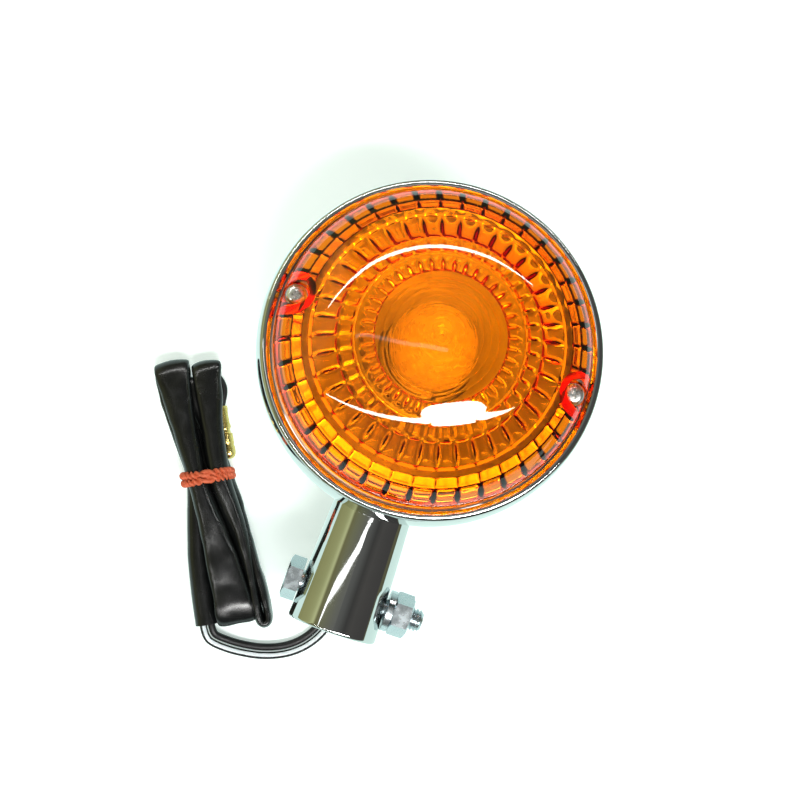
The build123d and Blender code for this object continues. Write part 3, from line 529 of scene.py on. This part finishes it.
HANK_AT = Vector((-54.56, -31.5, 0))
HANK_ALONG = Vector((0.5, -0.866, 0))
HANK_ACROSS = Vector((0.866, 0.5, 0))
UP = Vector((0, 0, 1))


def on_hank(along, across, height):
    """A place beside the hank's fold, in the hank's own directions."""
    place = HANK_AT + HANK_ALONG * along + HANK_ACROSS * across
    return (place.x, place.y, height)


LIVE_ROUTE = [
    (-1.1, -56.5, 11.2), (-1.1, -56.5, 6.8), (-1.1, -60.0, 2.4), (-1.2, -65.6, 1.2),
    (-1.4, -72.6, 1.2), (-3.4, -79.2, 1.2), (-7.8, -84.3, 1.2), (-14.4, -87.5, 1.2),
    (-21.6, -88.7, 1.3), (-27.0, -88.6, 2.2), on_hank(61.6, -6.4, 3.4), on_hank(59, -6.4, 3.4),
]
GROUND_ROUTE = [
    (1.1, -56.5, 11.2), (1.1, -56.5, 6.8), (1.1, -60.0, 2.4), (1.2, -65.6, 1.2),
    (0.9, -73.2, 1.2), (-1.5, -80.6, 1.2), (-6.6, -86.3, 1.2), (-13.9, -89.8, 1.2),
    (-22.0, -91.1, 1.3), (-28.2, -90.9, 2.2), on_hank(62.2, -8.6, 3.4), on_hank(59, -8.6, 3.4),
]
WIRE = 2.0                               # diameter over the insulation
HIDDEN_POINTS = 14                       # of the ground wire's line, left without its stripe


def route_curve(name, route, diameter=0.0):
    """One smooth line through the route, given a round section when diameter is set."""
    data = bpy.data.curves.new(name, "CURVE")
    data.dimensions = "3D"
    data.resolution_u = 10
    line = data.splines.new("NURBS")
    line.points.add(len(route) - 1)
    for point, place in zip(line.points, route):
        point.co = (*(Vector(place) * MM), 1.0)
    line.order_u = 3
    line.use_endpoint_u = True
    if diameter:
        data.bevel_depth = diameter / 2 * MM
        data.bevel_resolution = 6
        data.use_fill_caps = True
    made = bpy.data.objects.new(name, data)
    scene.collection.objects.link(made)
    return made


def read_line(route):
    """Points along a route's smooth line, in metres."""
    guide = route_curve("guide", route)
    bpy.context.view_layer.update()
    mesh = bpy.data.meshes.new_from_object(guide)
    points = [v.co.copy() for v in mesh.vertices]
    bpy.data.objects.remove(guide)
    bpy.data.meshes.remove(mesh)
    return points


def tangents(points):
    ahead = [points[1] - points[0]]
    ahead += [c - a for a, c in zip(points, points[2:])]
    ahead.append(points[-1] - points[-2])
    return [d.normalized() for d in ahead]


def stripe_on(points, radius, name):
    """The pale stripe printed along the top of a wire."""
    HALF_ANGLE, LEAN = math.radians(27), math.radians(12)
    PROUD = 1.012
    UPRIGHT = 0.2                        # less than this and the wire is near enough upright
    ribs = 5
    ring = []
    for place, ahead in zip(points, tangents(points)):
        side = ahead.cross(UP)
        if side.length < UPRIGHT:
            side = Vector((1, 0, 0))
        side.normalize()
        over = side.cross(ahead).normalized()
        for i in range(ribs):
            angle = LEAN + HALF_ANGLE * (2 * i / (ribs - 1) - 1)
            ring.append(place + (over * math.cos(angle) + side * math.sin(angle)) * radius * PROUD)
    made = mesh_object(name, ring, grid_faces(len(points), ribs, close_columns=False))
    for face in made.data.polygons:
        face.use_smooth = True
    return made


def free_wires():
    """Two wires from the stalk's grommet, round under it and into the open end of the sleeve."""
    for name, route, node, slot in (
        ("live_lead", LIVE_ROUTE, "live_wire", "black_wire"),
        ("ground_lead", GROUND_ROUTE, "ground_wire", "striped_wire"),
    ):
        lead = dress(route_curve(name, route, WIRE), slot)
        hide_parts(node)
        line = read_line(route)
        if slot == "striped_wire":
            stripe = stripe_on(line[HIDDEN_POINTS:], WIRE / 2 * MM, "ground_lead_stripe")
            stripe.data.materials.append(STRIPE_INK)
            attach(stripe, "root")


# along, across, height, width, thickness, roll (0 lies flat, 90 stands on edge)
SLEEVE_ROUTE = [
    (59.0, -7.5, 3.4, 6.4, 6.4, 0), (50.0, -7.2, 3.4, 6.4, 6.3, 0), (40.0, -6.6, 3.3, 6.2, 6.0, 0),
    (30.0, -5.4, 3.3, 5.4, 5.4, 0), (22.0, -4.4, 3.5, 4.4, 5.0, 0), (16.0, -4.3, 3.5, 4.4, 5.0, 0),
    (8.0, -4.9, 3.0, 6.2, 4.4, 0), (0.0, -5.3, 2.4, 8.4, 3.4, 0), (-7.0, -5.4, 1.9, 9.6, 2.8, 0),
    (-12.2, -5.0, 1.8, 9.9, 2.6, 0), (-13.4, -4.9, 4.4, 10.0, 2.6, 0),
    (-12.0, -4.8, 7.4, 9.8, 2.8, 0), (-7.0, -4.7, 8.0, 8.8, 3.6, 4), (0.0, -4.4, 8.1, 7.4, 4.6, 8),
    (8.0, -3.8, 8.4, 6.4, 5.2, 6), (16.0, -3.1, 8.9, 5.6, 5.6, 0), (22.0, -2.7, 8.9, 5.6, 5.6, 0),
    (30.0, -1.6, 8.4, 6.6, 5.2, 0), (40.0, -0.4, 7.9, 8.4, 4.2, 0), (50.0, 0.5, 7.6, 9.9, 3.2, 0),
    (57.0, 0.9, 7.3, 10.6, 2.8, 0), (59.8, 0.95, 5.0, 10.7, 2.6, 0), (58.0, 1.0, 2.0, 10.4, 2.6, 0),
    (50.0, 1.3, 1.9, 8.6, 3.0, 0), (40.0, 1.3, 2.3, 6.4, 4.0, 0), (30.0, 0.6, 3.0, 5.0, 5.0, 0),
    (22.0, 0.1, 3.7, 4.2, 5.0, 0), (16.0, -0.5, 3.9, 4.2, 4.6, 0), (8.0, -1.4, 3.6, 4.6, 4.0, 0),
    (0.0, -1.6, 3.4, 5.4, 3.4, 0), (-6.6, -1.5, 3.5, 6.0, 2.6, 0), (-8.4, -1.2, 4.5, 6.0, 2.4, 0),
    (-6.4, -0.6, 5.5, 5.6, 2.4, 0), (0.0, 0.6, 5.6, 4.6, 3.0, 0), (8.0, 2.2, 5.4, 4.2, 3.6, 0),
    (16.0, 4.0, 4.3, 4.2, 4.6, 20), (22.0, 4.5, 4.1, 4.2, 5.2, 40), (30.0, 5.9, 4.4, 6.2, 3.8, 68),
    (40.0, 7.5, 4.7, 7.4, 3.0, 84), (50.0, 8.9, 4.7, 8.0, 2.6, 90), (58.0, 9.5, 4.6, 8.0, 2.4, 90),
    (61.4, 9.3, 4.6, 8.0, 2.2, 90), (61.6, 7.1, 4.6, 8.0, 2.2, 90), (58.0, 6.8, 4.9, 7.8, 2.4, 90),
    (50.0, 6.5, 5.5, 7.0, 2.8, 86), (40.0, 5.9, 6.6, 6.0, 3.6, 70), (30.0, 4.6, 8.0, 5.6, 4.6, 30),
    (22.0, 3.2, 8.9, 5.8, 5.4, 0), (16.0, 3.1, 8.9, 5.8, 5.4, 0), (8.0, 3.3, 8.4, 5.8, 4.8, 0),
    (0.0, 3.9, 8.1, 6.8, 4.2, 0), (-6.0, 4.2, 7.9, 7.6, 3.0, 0), (-10.6, 4.35, 7.0, 8.3, 2.6, 0),
    (-11.6, 4.35, 4.6, 8.3, 2.6, 0), (-10.8, 4.3, 2.6, 8.0, 2.8, 0), (-8.4, 4.1, 2.3, 7.0, 3.4, 0),
]
SLEEVE_WALL = 0.45
SLEEVE_AROUND = 36


def sleeve_ring(place, wide, deep, half_wide, half_thick, creased=True):
    """Points round one section. The flatter the sleeve, the squarer and the more creased."""
    SQUARER = 1.3
    CREASES, FINE_CREASES = 190, 520     # waves to the metre
    DEPTH, FLAT_DEPTH, FINE_DEPTH = 0.10, 0.42, 0.10
    SIDEWAYS = 0.35
    flatness = max(0.0, 1.0 - half_thick / half_wide)
    power = 2.0 / (2.0 + SQUARER * flatness)
    points = []
    for j in range(SLEEVE_AROUND):
        angle = 2 * math.pi * j / SLEEVE_AROUND
        c, s = math.cos(angle), math.sin(angle)
        x = math.copysign(abs(c) ** power, c) * half_wide
        y = math.copysign(abs(s) ** power, s) * half_thick
        spot = place + (wide * x + deep * y) * MM
        if creased:
            crease = noise.noise(spot * CREASES) * (DEPTH + FLAT_DEPTH * flatness)
            crease += noise.noise(spot * FINE_CREASES) * FINE_DEPTH * flatness
            outward = (wide * x * SIDEWAYS + deep * y).normalized()
            spot += outward * crease * MM
        points.append(spot)
    return points


def lining(ring):
    """The inner face of the sleeve at the same section."""
    *frame_there, half_wide, half_thick = ring
    return sleeve_ring(*frame_there, half_wide - SLEEVE_WALL, half_thick - SLEEVE_WALL, False)


def sleeve_tube():
    """The vinyl sleeve: one tube folded to and fro, flat at its folds, pinched at the tie."""
    OPEN_END, CLOSED_END = 8, 4          # how far in the lining goes, in steps of two rings
    line = read_line([on_hank(*row[:3]) for row in SLEEVE_ROUTE])
    spans = len(SLEEVE_ROUTE) - 2
    rings = []
    for i, (place, ahead) in enumerate(zip(line, tangents(line))):
        where = min(max(spans * i / (len(line) - 1) + 0.5, 0), len(SLEEVE_ROUTE) - 1.001)
        low = int(where)
        share = where - low
        a, b = SLEEVE_ROUTE[low], SLEEVE_ROUTE[low + 1]
        width, thick, roll = (a[k] + (b[k] - a[k]) * share for k in (3, 4, 5))
        roll = math.radians(roll)
        wide = HANK_ACROSS * math.cos(roll) + UP * math.sin(roll)
        wide = (wide - ahead * wide.dot(ahead)).normalized()
        rings.append((place, wide, ahead.cross(wide), width / 2, thick / 2))
    points = []
    for i in range(OPEN_END, -1, -1):
        points += lining(rings[i * 2])
    for ring in rings:
        points += sleeve_ring(*ring)
    for i in range(CLOSED_END + 1):
        points += lining(rings[-1 - i * 2])
    faces = capped_faces(len(points) // SLEEVE_AROUND, SLEEVE_AROUND)
    sleeve = soften(mesh_object("wiring_sleeve_tube", points, faces), degrees=60)
    return dress(sleeve, "black_sleeve"), line


TIE_CENTRE = Vector(on_hank(19.3, -0.15, 6.7))
TIE_STEPS, TIE_SIDES = 260, 10           # round the hank and round a strand


def tie_line(angle, offset):
    """The middle of one winding of the tie, at an angle round the hank."""
    HALF_WIDE, HALF_TALL, SQUARE = 6.45, 5.65, 0.62
    GATHER, SLANT, SLANT_FROM = 0.42, 0.35, 0.6
    c, s = math.cos(angle), math.sin(angle)
    x = math.copysign(abs(c) ** SQUARE, c) * HALF_WIDE
    z = math.copysign(abs(s) ** SQUARE, s) * HALF_TALL
    gathered = 1 - GATHER * (0.5 + 0.5 * c)
    slide = offset * gathered + SLANT * math.sin(angle + SLANT_FROM)
    return TIE_CENTRE + HANK_ACROSS * x + UP * z + HANK_ALONG * slide


def tie_strand(offset, lay_from):
    """Points of one of the two strands that are twisted into a winding."""
    STRAND, LAY_RADIUS, LAYS = 0.62, 0.52, 13
    NEAR = 0.01
    points = []
    for i in range(TIE_STEPS):
        angle = 2 * math.pi * i / TIE_STEPS
        here = tie_line(angle, offset)
        ahead = (tie_line(angle + NEAR, offset) - tie_line(angle - NEAR, offset)).normalized()
        out = here - TIE_CENTRE
        out = (out - ahead * out.dot(ahead)).normalized()
        side = ahead.cross(out)
        lay = LAYS * angle + lay_from
        axis = here + (out * math.cos(lay) + side * math.sin(lay)) * LAY_RADIUS
        for j in range(TIE_SIDES):
            t = 2 * math.pi * j / TIE_SIDES
            points.append((axis + (out * math.cos(t) + side * math.sin(t)) * STRAND) * MM)
    return points


def twisted_tie():
    """A cord of two twisted strands, wound twice round the hank."""
    APART, LAY_SHIFT = 1.05, 0.9
    points, faces = [], []
    for winding, offset in enumerate((-APART, APART)):
        for lay_from in (0, math.pi):
            shift = len(points)
            points += tie_strand(offset, lay_from + winding * LAY_SHIFT)
            for face in looped_faces(TIE_STEPS, TIE_SIDES):
                faces.append(tuple(v + shift for v in face))
    tie = soften(mesh_object("twisted_tie", points, faces), degrees=80)
    dress(tie, "red_rubber")
    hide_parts("rubber_band")
    return tie


def bullet(name, node, side):
    """A crimped brass bullet terminal lying along the hank, nose towards the tie."""
    START, HEIGHT = 0.4, 2.2
    BARREL = 1.80                        # radius of the crimped end
    SHALLOW, DEEP = 0.28, 0.55           # of the crimp

    def crimped(depth):
        return lambda angle: BARREL - depth * max(0.0, math.cos(2 * angle)) ** 6

    outline = [
        (0, 0.0), (1.25, 0.0), (1.72, 0.12), (BARREL, 0.45), (BARREL, 1.1),
        (crimped(SHALLOW), 1.5), (crimped(DEEP), 2.3), (crimped(DEEP), 4.2),
        (crimped(SHALLOW), 5.0), (BARREL, 5.4), (BARREL, 6.2), (1.62, 6.4), (1.45, 6.7),
        (1.45, 7.5), (1.62, 7.8), (1.95, 8.0), (1.95, 10.6), (1.80, 10.9), (1.80, 11.4),
        (1.95, 11.7), (1.95, 13.2), (1.80, 13.9), (1.45, 14.5), (0.85, 14.9), (0, 15.0),
    ]
    x = HANK_ACROSS
    z = HANK_ALONG.normalized()
    y = z.cross(x).normalized()
    turn = Matrix((x, y, z)).transposed().to_4x4()
    spot = Matrix.Translation(Vector(on_hank(START, side, HEIGHT)) * MM) @ turn
    made = turned(name, outline, around=40, place=spot)
    dress(made, "brass")
    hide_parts(node)
    return made


def tail(name, node, slot, side, sway):
    """The few millimetres of wire between the sleeve's end and its bullet."""
    ends, middle = 2.2, 2.3              # heights
    route = [
        on_hank(-9.0, side, ends), on_hank(-6.4, side + sway, middle),
        on_hank(-2.8, side + sway, middle), on_hank(0.6, side, ends),
    ]
    made = dress(route_curve(name, route, WIRE), slot)
    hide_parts(node)
    return made


def hank():
    """The folded sleeve with everything on it."""
    sleeve, line = sleeve_tube()
    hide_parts("wiring_sleeve")
    fixed = [
        twisted_tie(),
        bullet("live_bullet_brass", "live_bullet", 6.3),
        bullet("ground_bullet_brass", "ground_bullet", 1.4),
        tail("live_tail_wire", "live_tail", "black_wire", 6.3, 1.7),
        tail("ground_tail_wire", "ground_tail", "striped_wire", 1.4, 0.5),
    ]


# ---------------------------------------------------------------- the lens

LENS_BASE = 42.2
DOME_FOOT = 44.6
CROWN_CENTRE = 7.0
CROWN_RADIUS = 59.6
SHOULDER_AT = 25.8
SHOULDER_RADIUS = 14.0
LENS_WALL = 2.3
KNEE = math.asin(SHOULDER_AT / (CROWN_RADIUS - SHOULDER_RADIUS))
CELLS = 40                               # prisms round each ring
SCREW_AT = 36.0
BOSS_RADIUS = 5.4
POCKET_RADIUS = 3.2
POCKET_FLOOR = 48.5
SCREW_HOLE = 1.62                        # radius
CLEAR_BELOW, CLEAR_ABOVE = LENS_BASE - 6, 70
CAVITY_FOOT = LENS_BASE - 3.0


def dome_point(lean, inset):
    """A point of the dome's section where its normal leans from the vertical by lean, moved in
    by inset: (radius, height)."""
    if lean <= KNEE:
        reach = CROWN_RADIUS - inset
        return reach * math.sin(lean), CROWN_CENTRE + reach * math.cos(lean)
    reach = SHOULDER_RADIUS - inset
    return SHOULDER_AT + reach * math.sin(lean), DOME_FOOT + reach * math.cos(lean)


def lean_at(radius):
    """How far the outer dome's normal leans at a radius seen from above."""
    crown_edge = CROWN_RADIUS * math.sin(KNEE)
    if radius <= crown_edge:
        return math.asin(radius / CROWN_RADIUS)
    return math.asin(min(1.0, (radius - SHOULDER_AT) / SHOULDER_RADIUS))


def pillow(u):
    """A rounded height across one cell, u running from 0 to 1."""
    return 1.0 - (2.0 * u - 1.0) ** 2


def cushion(u):
    """The same with a broader top."""
    return 1.0 - abs(2.0 * u - 1.0) ** 3


def block(u, edge=0.16):
    """A flat-topped pad with sloping sides."""
    rise = min(u, 1.0 - u) / edge
    return max(0.0, min(1.0, rise))


# Each relief says how far its prism stands down, in mm. u runs outwards across the ring, and v
# round one cell of it.

def fresnel(u, v):
    return 0.42 * (1.0 - u) ** 1.2


def flutes(u, v):
    edge = 0.16 + 0.16 * pillow(v)
    return 0.75 * pillow(v) * block(min(1.0, u + 0.12), edge)


def pads(u, v):
    return 0.62 * block(u, 0.22) * block(v, 0.30)


def big_cells(u, v):
    return 0.8 * cushion(v) * (0.35 + 0.65 * cushion(u))


def ridge(u, v):
    return 1.0 * min(u, 1.0 - u) * 2.0 * (0.75 + 0.25 * pillow(v))


def brick(u, v):
    return 0.45 * block(v, 0.11) * (0.6 + 0.4 * cushion(u))


def rim_cells(u, v):
    return 0.5 * block(v, 0.11) * (0.6 + 0.4 * cushion(u))


# inner radius, outer radius, samples across, relief
DISC_RINGS = [(2.0 * i, 2.0 * (i + 1), 6, fresnel) for i in range(8)]
LENS_RINGS = DISC_RINGS + [
    (16.1, 20.6, 12, flutes),
    (20.6, 21.2, 3, ridge),
    (21.2, 25.0, 10, pads),
    (25.2, 31.0, 14, big_cells),
    (31.0, 33.4, 8, ridge),
    (33.5, 36.1, 9, brick),
    (36.2, 39.6, 10, rim_cells),
]


def closed_dome(name, rows, around, foot):
    """A closed solid under a polar grid of (radius, height) rows, first row on the axis."""
    points = [Vector((0, 0, rows[0][0][1])) * MM]
    for row in rows[1:]:
        for j, (radius, height) in enumerate(row):
            angle = 2 * math.pi * j / around
            points.append(Vector((radius * math.cos(angle), radius * math.sin(angle), height)) * MM)
    faces = [(0, 1 + j, 1 + (j + 1) % around) for j in range(around)]
    for i in range(len(rows) - 2):
        a, b = 1 + i * around, 1 + (i + 1) * around
        for j in range(around):
            k = (j + 1) % around
            faces.append((a + j, b + j, b + k, a + k))
    last = 1 + (len(rows) - 2) * around
    points.append(Vector((0, 0, foot)) * MM)
    centre = len(points) - 1
    for j in range(around):
        faces.append((last + j, centre, last + (j + 1) % around))
    return mesh_object(name, points, faces)


def outer_dome():
    """The lens's outside as a solid."""
    around = 240
    rows = [[dome_point(0, 0)] * around]
    crown_steps, shoulder_steps = 40, 26
    leans = [KNEE * (i + 1) / crown_steps for i in range(crown_steps)]
    leans += [KNEE + (math.pi / 2 - KNEE) * (i + 1) / shoulder_steps for i in range(shoulder_steps)]
    rows += [[dome_point(lean, 0)] * around for lean in leans]
    rows.append([(SHOULDER_AT + SHOULDER_RADIUS, LENS_BASE)] * around)
    return closed_dome("lens_outer", rows, around, LENS_BASE)


def inner_cavity():
    """The hollow inside the lens, with every prism of the pattern standing down into it."""
    RING_STEP = 0.03                     # between one ring's last row and the next one's first
    per_cell = 10
    around = CELLS * per_cell
    rows = [[dome_point(0, LENS_WALL)] * around]
    for inner, outer, samples, relief in LENS_RINGS:
        for i in range(samples + 1):
            u = i / samples
            if inner == 0 and i == 0:
                continue
            lean = lean_at(inner + (outer - inner) * u + (RING_STEP if i == 0 else 0.0))
            row = []
            for j in range(around):
                v = (j % per_cell) / per_cell
                row.append(dome_point(lean, LENS_WALL + relief(u, v)))
            rows.append(row)
    wall = SHOULDER_AT + SHOULDER_RADIUS - LENS_WALL
    rows.append([(wall, DOME_FOOT)] * around)
    rows.append([(wall, CAVITY_FOOT)] * around)
    return closed_dome("lens_cavity", rows, around, CAVITY_FOOT)


def cut(piece, tool):
    """Cuts the tool out of the piece and throws it away."""
    step = piece.modifiers.new("cut", "BOOLEAN")
    step.operation = "DIFFERENCE"
    step.object = tool
    step.solver = "EXACT"
    bpy.context.view_layer.update()
    result = piece.evaluated_get(bpy.context.evaluated_depsgraph_get())
    shape = bpy.data.meshes.new_from_object(result)
    piece.modifiers.clear()
    old = piece.data
    piece.data = shape
    bpy.data.meshes.remove(old)
    bpy.data.objects.remove(tool)


def peg(name, x, radius, low, high):
    """An upright round cutter."""
    outline = [(0, low), (radius, low), (radius, high), (0, high)]
    return turned(name, outline, around=72, place=moved(x, 0, 0))


def lens():
    """The outer dome less the hollow, which leaves the two screw bosses standing."""
    cavity = inner_cavity()
    for x in (-SCREW_AT, SCREW_AT):
        cut(cavity, peg("boss_cutter", x, BOSS_RADIUS, CLEAR_BELOW, CLEAR_ABOVE))
    glass = outer_dome()
    cut(glass, cavity)
    for x in (-SCREW_AT, SCREW_AT):
        cut(glass, peg("pocket_cutter", x, POCKET_RADIUS, POCKET_FLOOR, CLEAR_ABOVE))
        cut(glass, peg("screw_hole_cutter", x, SCREW_HOLE, CLEAR_BELOW, POCKET_FLOOR + 1))
    glass.name = "lens_glass"
    soften(glass, degrees=40)
    dress(glass, "amber_lens", "lens")
    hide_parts("lens")


# ---------------------------------------------------------------- the cross bolt

BOLT_AT = Vector((0, -65.6, 24.0))
ALONG_X = Matrix(((0, 0, 1), (0, 1, 0), (-1, 0, 0))).to_4x4()


def hexagon(half):
    """The distance from the middle to the side of a hexagon, by angle."""
    def radius(angle):
        sector = math.pi / 3
        return half / math.cos((angle + sector / 2) % sector - sector / 2)
    return radius


def hex_solid(name, half, low, high, place, chamfered_above, hole=0.0):
    """A hexagonal head or nut from low to high, its corners turned off below or at both ends."""
    CORNER, SLOPE = 0.94, 0.50           # where the turned-off corners begin, and their slope
    BEVEL, BEVEL_DEPTH = 0.45, 0.35      # of the hole's edge
    CENTRE = 0.02                        # radius of the face in the middle of a head
    side = hexagon(half)

    def drop(angle):
        return SLOPE * max(0.0, side(angle) - half * CORNER)

    def trimmed(angle):
        return min(side(angle), half * CORNER)

    if hole:
        rows = [(hole, high - BEVEL_DEPTH), (hole + BEVEL, high)]
    else:
        rows = [(CENTRE, high), (half * 0.60, high), (half * 0.66, high)]
    rows.append((half * 0.93, high))
    if chamfered_above:
        rows += [(trimmed, high), (side, lambda angle: high - drop(angle))]
    else:
        rows.append((side, high))
    rows += [(side, lambda angle: low + drop(angle)), (trimmed, low)]
    if hole:
        rows += [(hole + BEVEL, low), (hole, low + BEVEL_DEPTH)]
    else:
        rows.append((CENTRE, low))
    around = 96
    points = []
    for radius, height in rows:
        points += circle(around, radius, height, place)
    faces = (looped_faces if hole else capped_faces)(len(rows), around)
    return soften(mesh_object(name, points, faces), degrees=25)


def thread_radius(angle, height, start, end, major, pitch):
    """A rolled thread's radius. It fades in from start and is chamfered at end."""
    DEPTH, CHAMFER = 0.58, 0.85          # of the pitch
    RUN_IN, RUN_OUT = 1.5, 0.9
    CREST, FLANK = 0.14, 1.25
    phase = (height / pitch - angle / (2 * math.pi)) % 1.0
    groove = max(0.0, min(1.0, (abs(phase - 0.5) * 2 - CREST) * FLANK))
    fade = min(1.0, (height - start) / (RUN_IN * pitch))
    room = min(1.0, (end - height) / (RUN_OUT * pitch))
    return min(major - DEPTH * pitch * groove * fade, major - CHAMFER * pitch * (1 - room))


def threaded_rod(name, start, thread_from, end, place, major, pitch):
    """A plain shank, then a rolled thread with a chamfered end."""
    THINNER, STEP = 0.08, 0.3            # the shank than the thread, and from one to the other
    around, per_turn = 40, 12
    points = circle(around, major - THINNER, start, place)
    points += circle(around, major - THINNER, thread_from - STEP, place)
    rows = int((end - thread_from) / pitch * per_turn)
    for i in range(rows + 1):
        height = thread_from + (end - thread_from) * i / rows
        rolled = partial(
            thread_radius, height=height, start=thread_from, end=end, major=major, pitch=pitch
        )
        points += circle(around, rolled, height, place)
    return soften(mesh_object(name, points, capped_faces(rows + 3, around)), degrees=50)


def cross_bolt():
    """An M6 bolt through the stalk's end, and its nut."""
    HALF_ACROSS_FLATS, THREAD_RADIUS, PITCH, HOLE = 5.0, 2.98, 1.0, 2.55
    HEAD_OUT, HEAD_IN, THREAD_FROM = -15.75, -11.75, -4.0
    OVERLAP = 0.1                        # of the shank into its head
    place = moved(*BOLT_AT) @ ALONG_X
    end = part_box("clamp_bolt")[1].x / MM
    head = hex_solid("bolt_head", HALF_ACROSS_FLATS, HEAD_OUT, HEAD_IN, place, False)
    rod = threaded_rod(
        "bolt_thread", HEAD_IN - OVERLAP, THREAD_FROM, end, place, THREAD_RADIUS, PITCH
    )
    for piece in (head, rod):
        dress(piece, "zinc_plate", "bolt")
        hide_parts("clamp_bolt")
    low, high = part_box("clamp_nut")
    nut = hex_solid("nut_chamfered", HALF_ACROSS_FLATS, low.x / MM, high.x / MM, place, True, HOLE)
    dress(nut, "zinc_plate", "nut")
    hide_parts("clamp_nut")


# ---------------------------------------------------------------- the stalk

def bowl_radius(height):
    """The bowl's outer radius at a height."""
    BACK, WIDTH, BELLY, SIDE = 20.0, 24.4, 34.0, 39.55
    if height < BELLY:
        return BACK + WIDTH * math.sqrt(max(0.0, 1.0 - ((BELLY - height) / BELLY) ** 2))
    return BACK + WIDTH - (height - BELLY) ** 2 / (2 * SIDE)


def stalk():
    """The modelled stalk with its root drawn in, so that it runs straight up to the bowl."""
    ROOT_Y, ROOT_RADIUS, SLOPE, AXIS_Z = -46.0, 10.6, 1.2 / 29.0, 24.0
    ON_BOWL, SAME = 0.2, 0.02            # how near counts as on the bowl, and as the same place
    source = frame["nodes"]["stalk"]
    mesh = source.data.copy()
    mesh.transform(source.matrix_world)
    for vertex in mesh.vertices:
        x, y, z = vertex.co / MM
        reach = math.hypot(x, z - AXIS_Z)
        straight = ROOT_RADIUS - (y - ROOT_Y) * SLOPE
        if y < ROOT_Y + SAME or reach <= straight:
            continue
        on_bowl = abs(math.hypot(x, y) - bowl_radius(z)) < ON_BOWL
        x, z = x * straight / reach, AXIS_Z + (z - AXIS_Z) * straight / reach
        if on_bowl:
            y = -math.sqrt(max(0.0, bowl_radius(z) ** 2 - x * x))
        vertex.co = Vector((x, y, z)) * MM
    made = bpy.data.objects.new("stalk_plated", mesh)
    scene.collection.objects.link(made)
    soften(made)
    dress(made, "chrome")
    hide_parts("stalk")


# ---------------------------------------------------------------- the lens screws

def cross_cutter(name, place, long_way, short_way, depth, taper):
    """One arm of a cross recess: a slot that narrows downwards from the place given."""
    PROUD, SIDE_TAPER = 0.3, 0.12
    points = []
    for height, shrink in ((PROUD, 0.0), (-depth, taper)):
        x, y = long_way - shrink, short_way - shrink * SIDE_TAPER
        for spot in ((-x, -y, height), (x, -y, height), (x, y, height), (-x, y, height)):
            points.append(place @ (Vector(spot) * MM))
    faces = [(0, 1, 2, 3), (7, 6, 5, 4)]
    faces += [(j, 4 + j, 4 + (j + 1) % 4, (j + 1) % 4) for j in range(4)]
    return soften(mesh_object(name, points, faces))


def lens_screw(word, x):
    """A cross-recessed pan head on its washer, with a threaded shank down to the pillar."""
    HEAD_FOOT, HEAD_TALL = 49.0, 2.0
    SHANK, THREAD_FROM, THREAD_RADIUS, PITCH, OVERLAP = 19.0, 1.5, 1.48, 0.5, 0.1
    FIRST_ARM = 22.0                     # degrees
    ARM = {"long_way": 1.5, "short_way": 0.36, "depth": 1.35, "taper": 0.95}
    outline = [
        (0, 0.0), (2.35, 0.0), (2.5, 0.14), (2.5, 0.85), (2.45, 1.15), (2.3, 1.45), (2.0, 1.72),
        (1.5, 1.90), (0.8, 1.98), (0, HEAD_TALL),
    ]
    head = turned(f"screw_head_{word}", outline, around=48, place=moved(x, 0, HEAD_FOOT))
    for angle in (FIRST_ARM, FIRST_ARM + 90.0):
        top = moved(x, 0, HEAD_FOOT + HEAD_TALL) @ Matrix.Rotation(math.radians(angle), 4, "Z")
        cut(head, cross_cutter("cross_cutter", top, **ARM))
    soften(head, degrees=30)
    down = moved(x, 0, HEAD_FOOT) @ Matrix.Rotation(math.pi, 4, "X")
    shank = threaded_rod(
        f"screw_thread_{word}", -OVERLAP, THREAD_FROM, SHANK, down, THREAD_RADIUS, PITCH
    )
    for piece in (head, shank):
        dress(piece, "lens_screw_steel", f"screw_{word}")
        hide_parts(f"lens_screw_{word}")


# ---------------------------------------------------------------- the whole scene

FINISHES = all_finishes()
STRIPE_INK = surface(
    "stripe_ink", ((0.62, 0.70, 0.74), (0.74, 0.80, 0.83)), (0.32, 0.44), 0.0, 900.0, 0.05, 2700.0,
)

camera_axes = camera()
table()
room()
lights(*camera_axes)
free_wires()
hank()
lens()
lens_screw("left", -SCREW_AT)
lens_screw("right", SCREW_AT)
stalk()
cross_bolt()
for row in frame["record"]["subparts"]:
    for holder in frame["nodes"][row["node"]].material_slots:
        holder.material = FINISHES[row["material_slot"]]
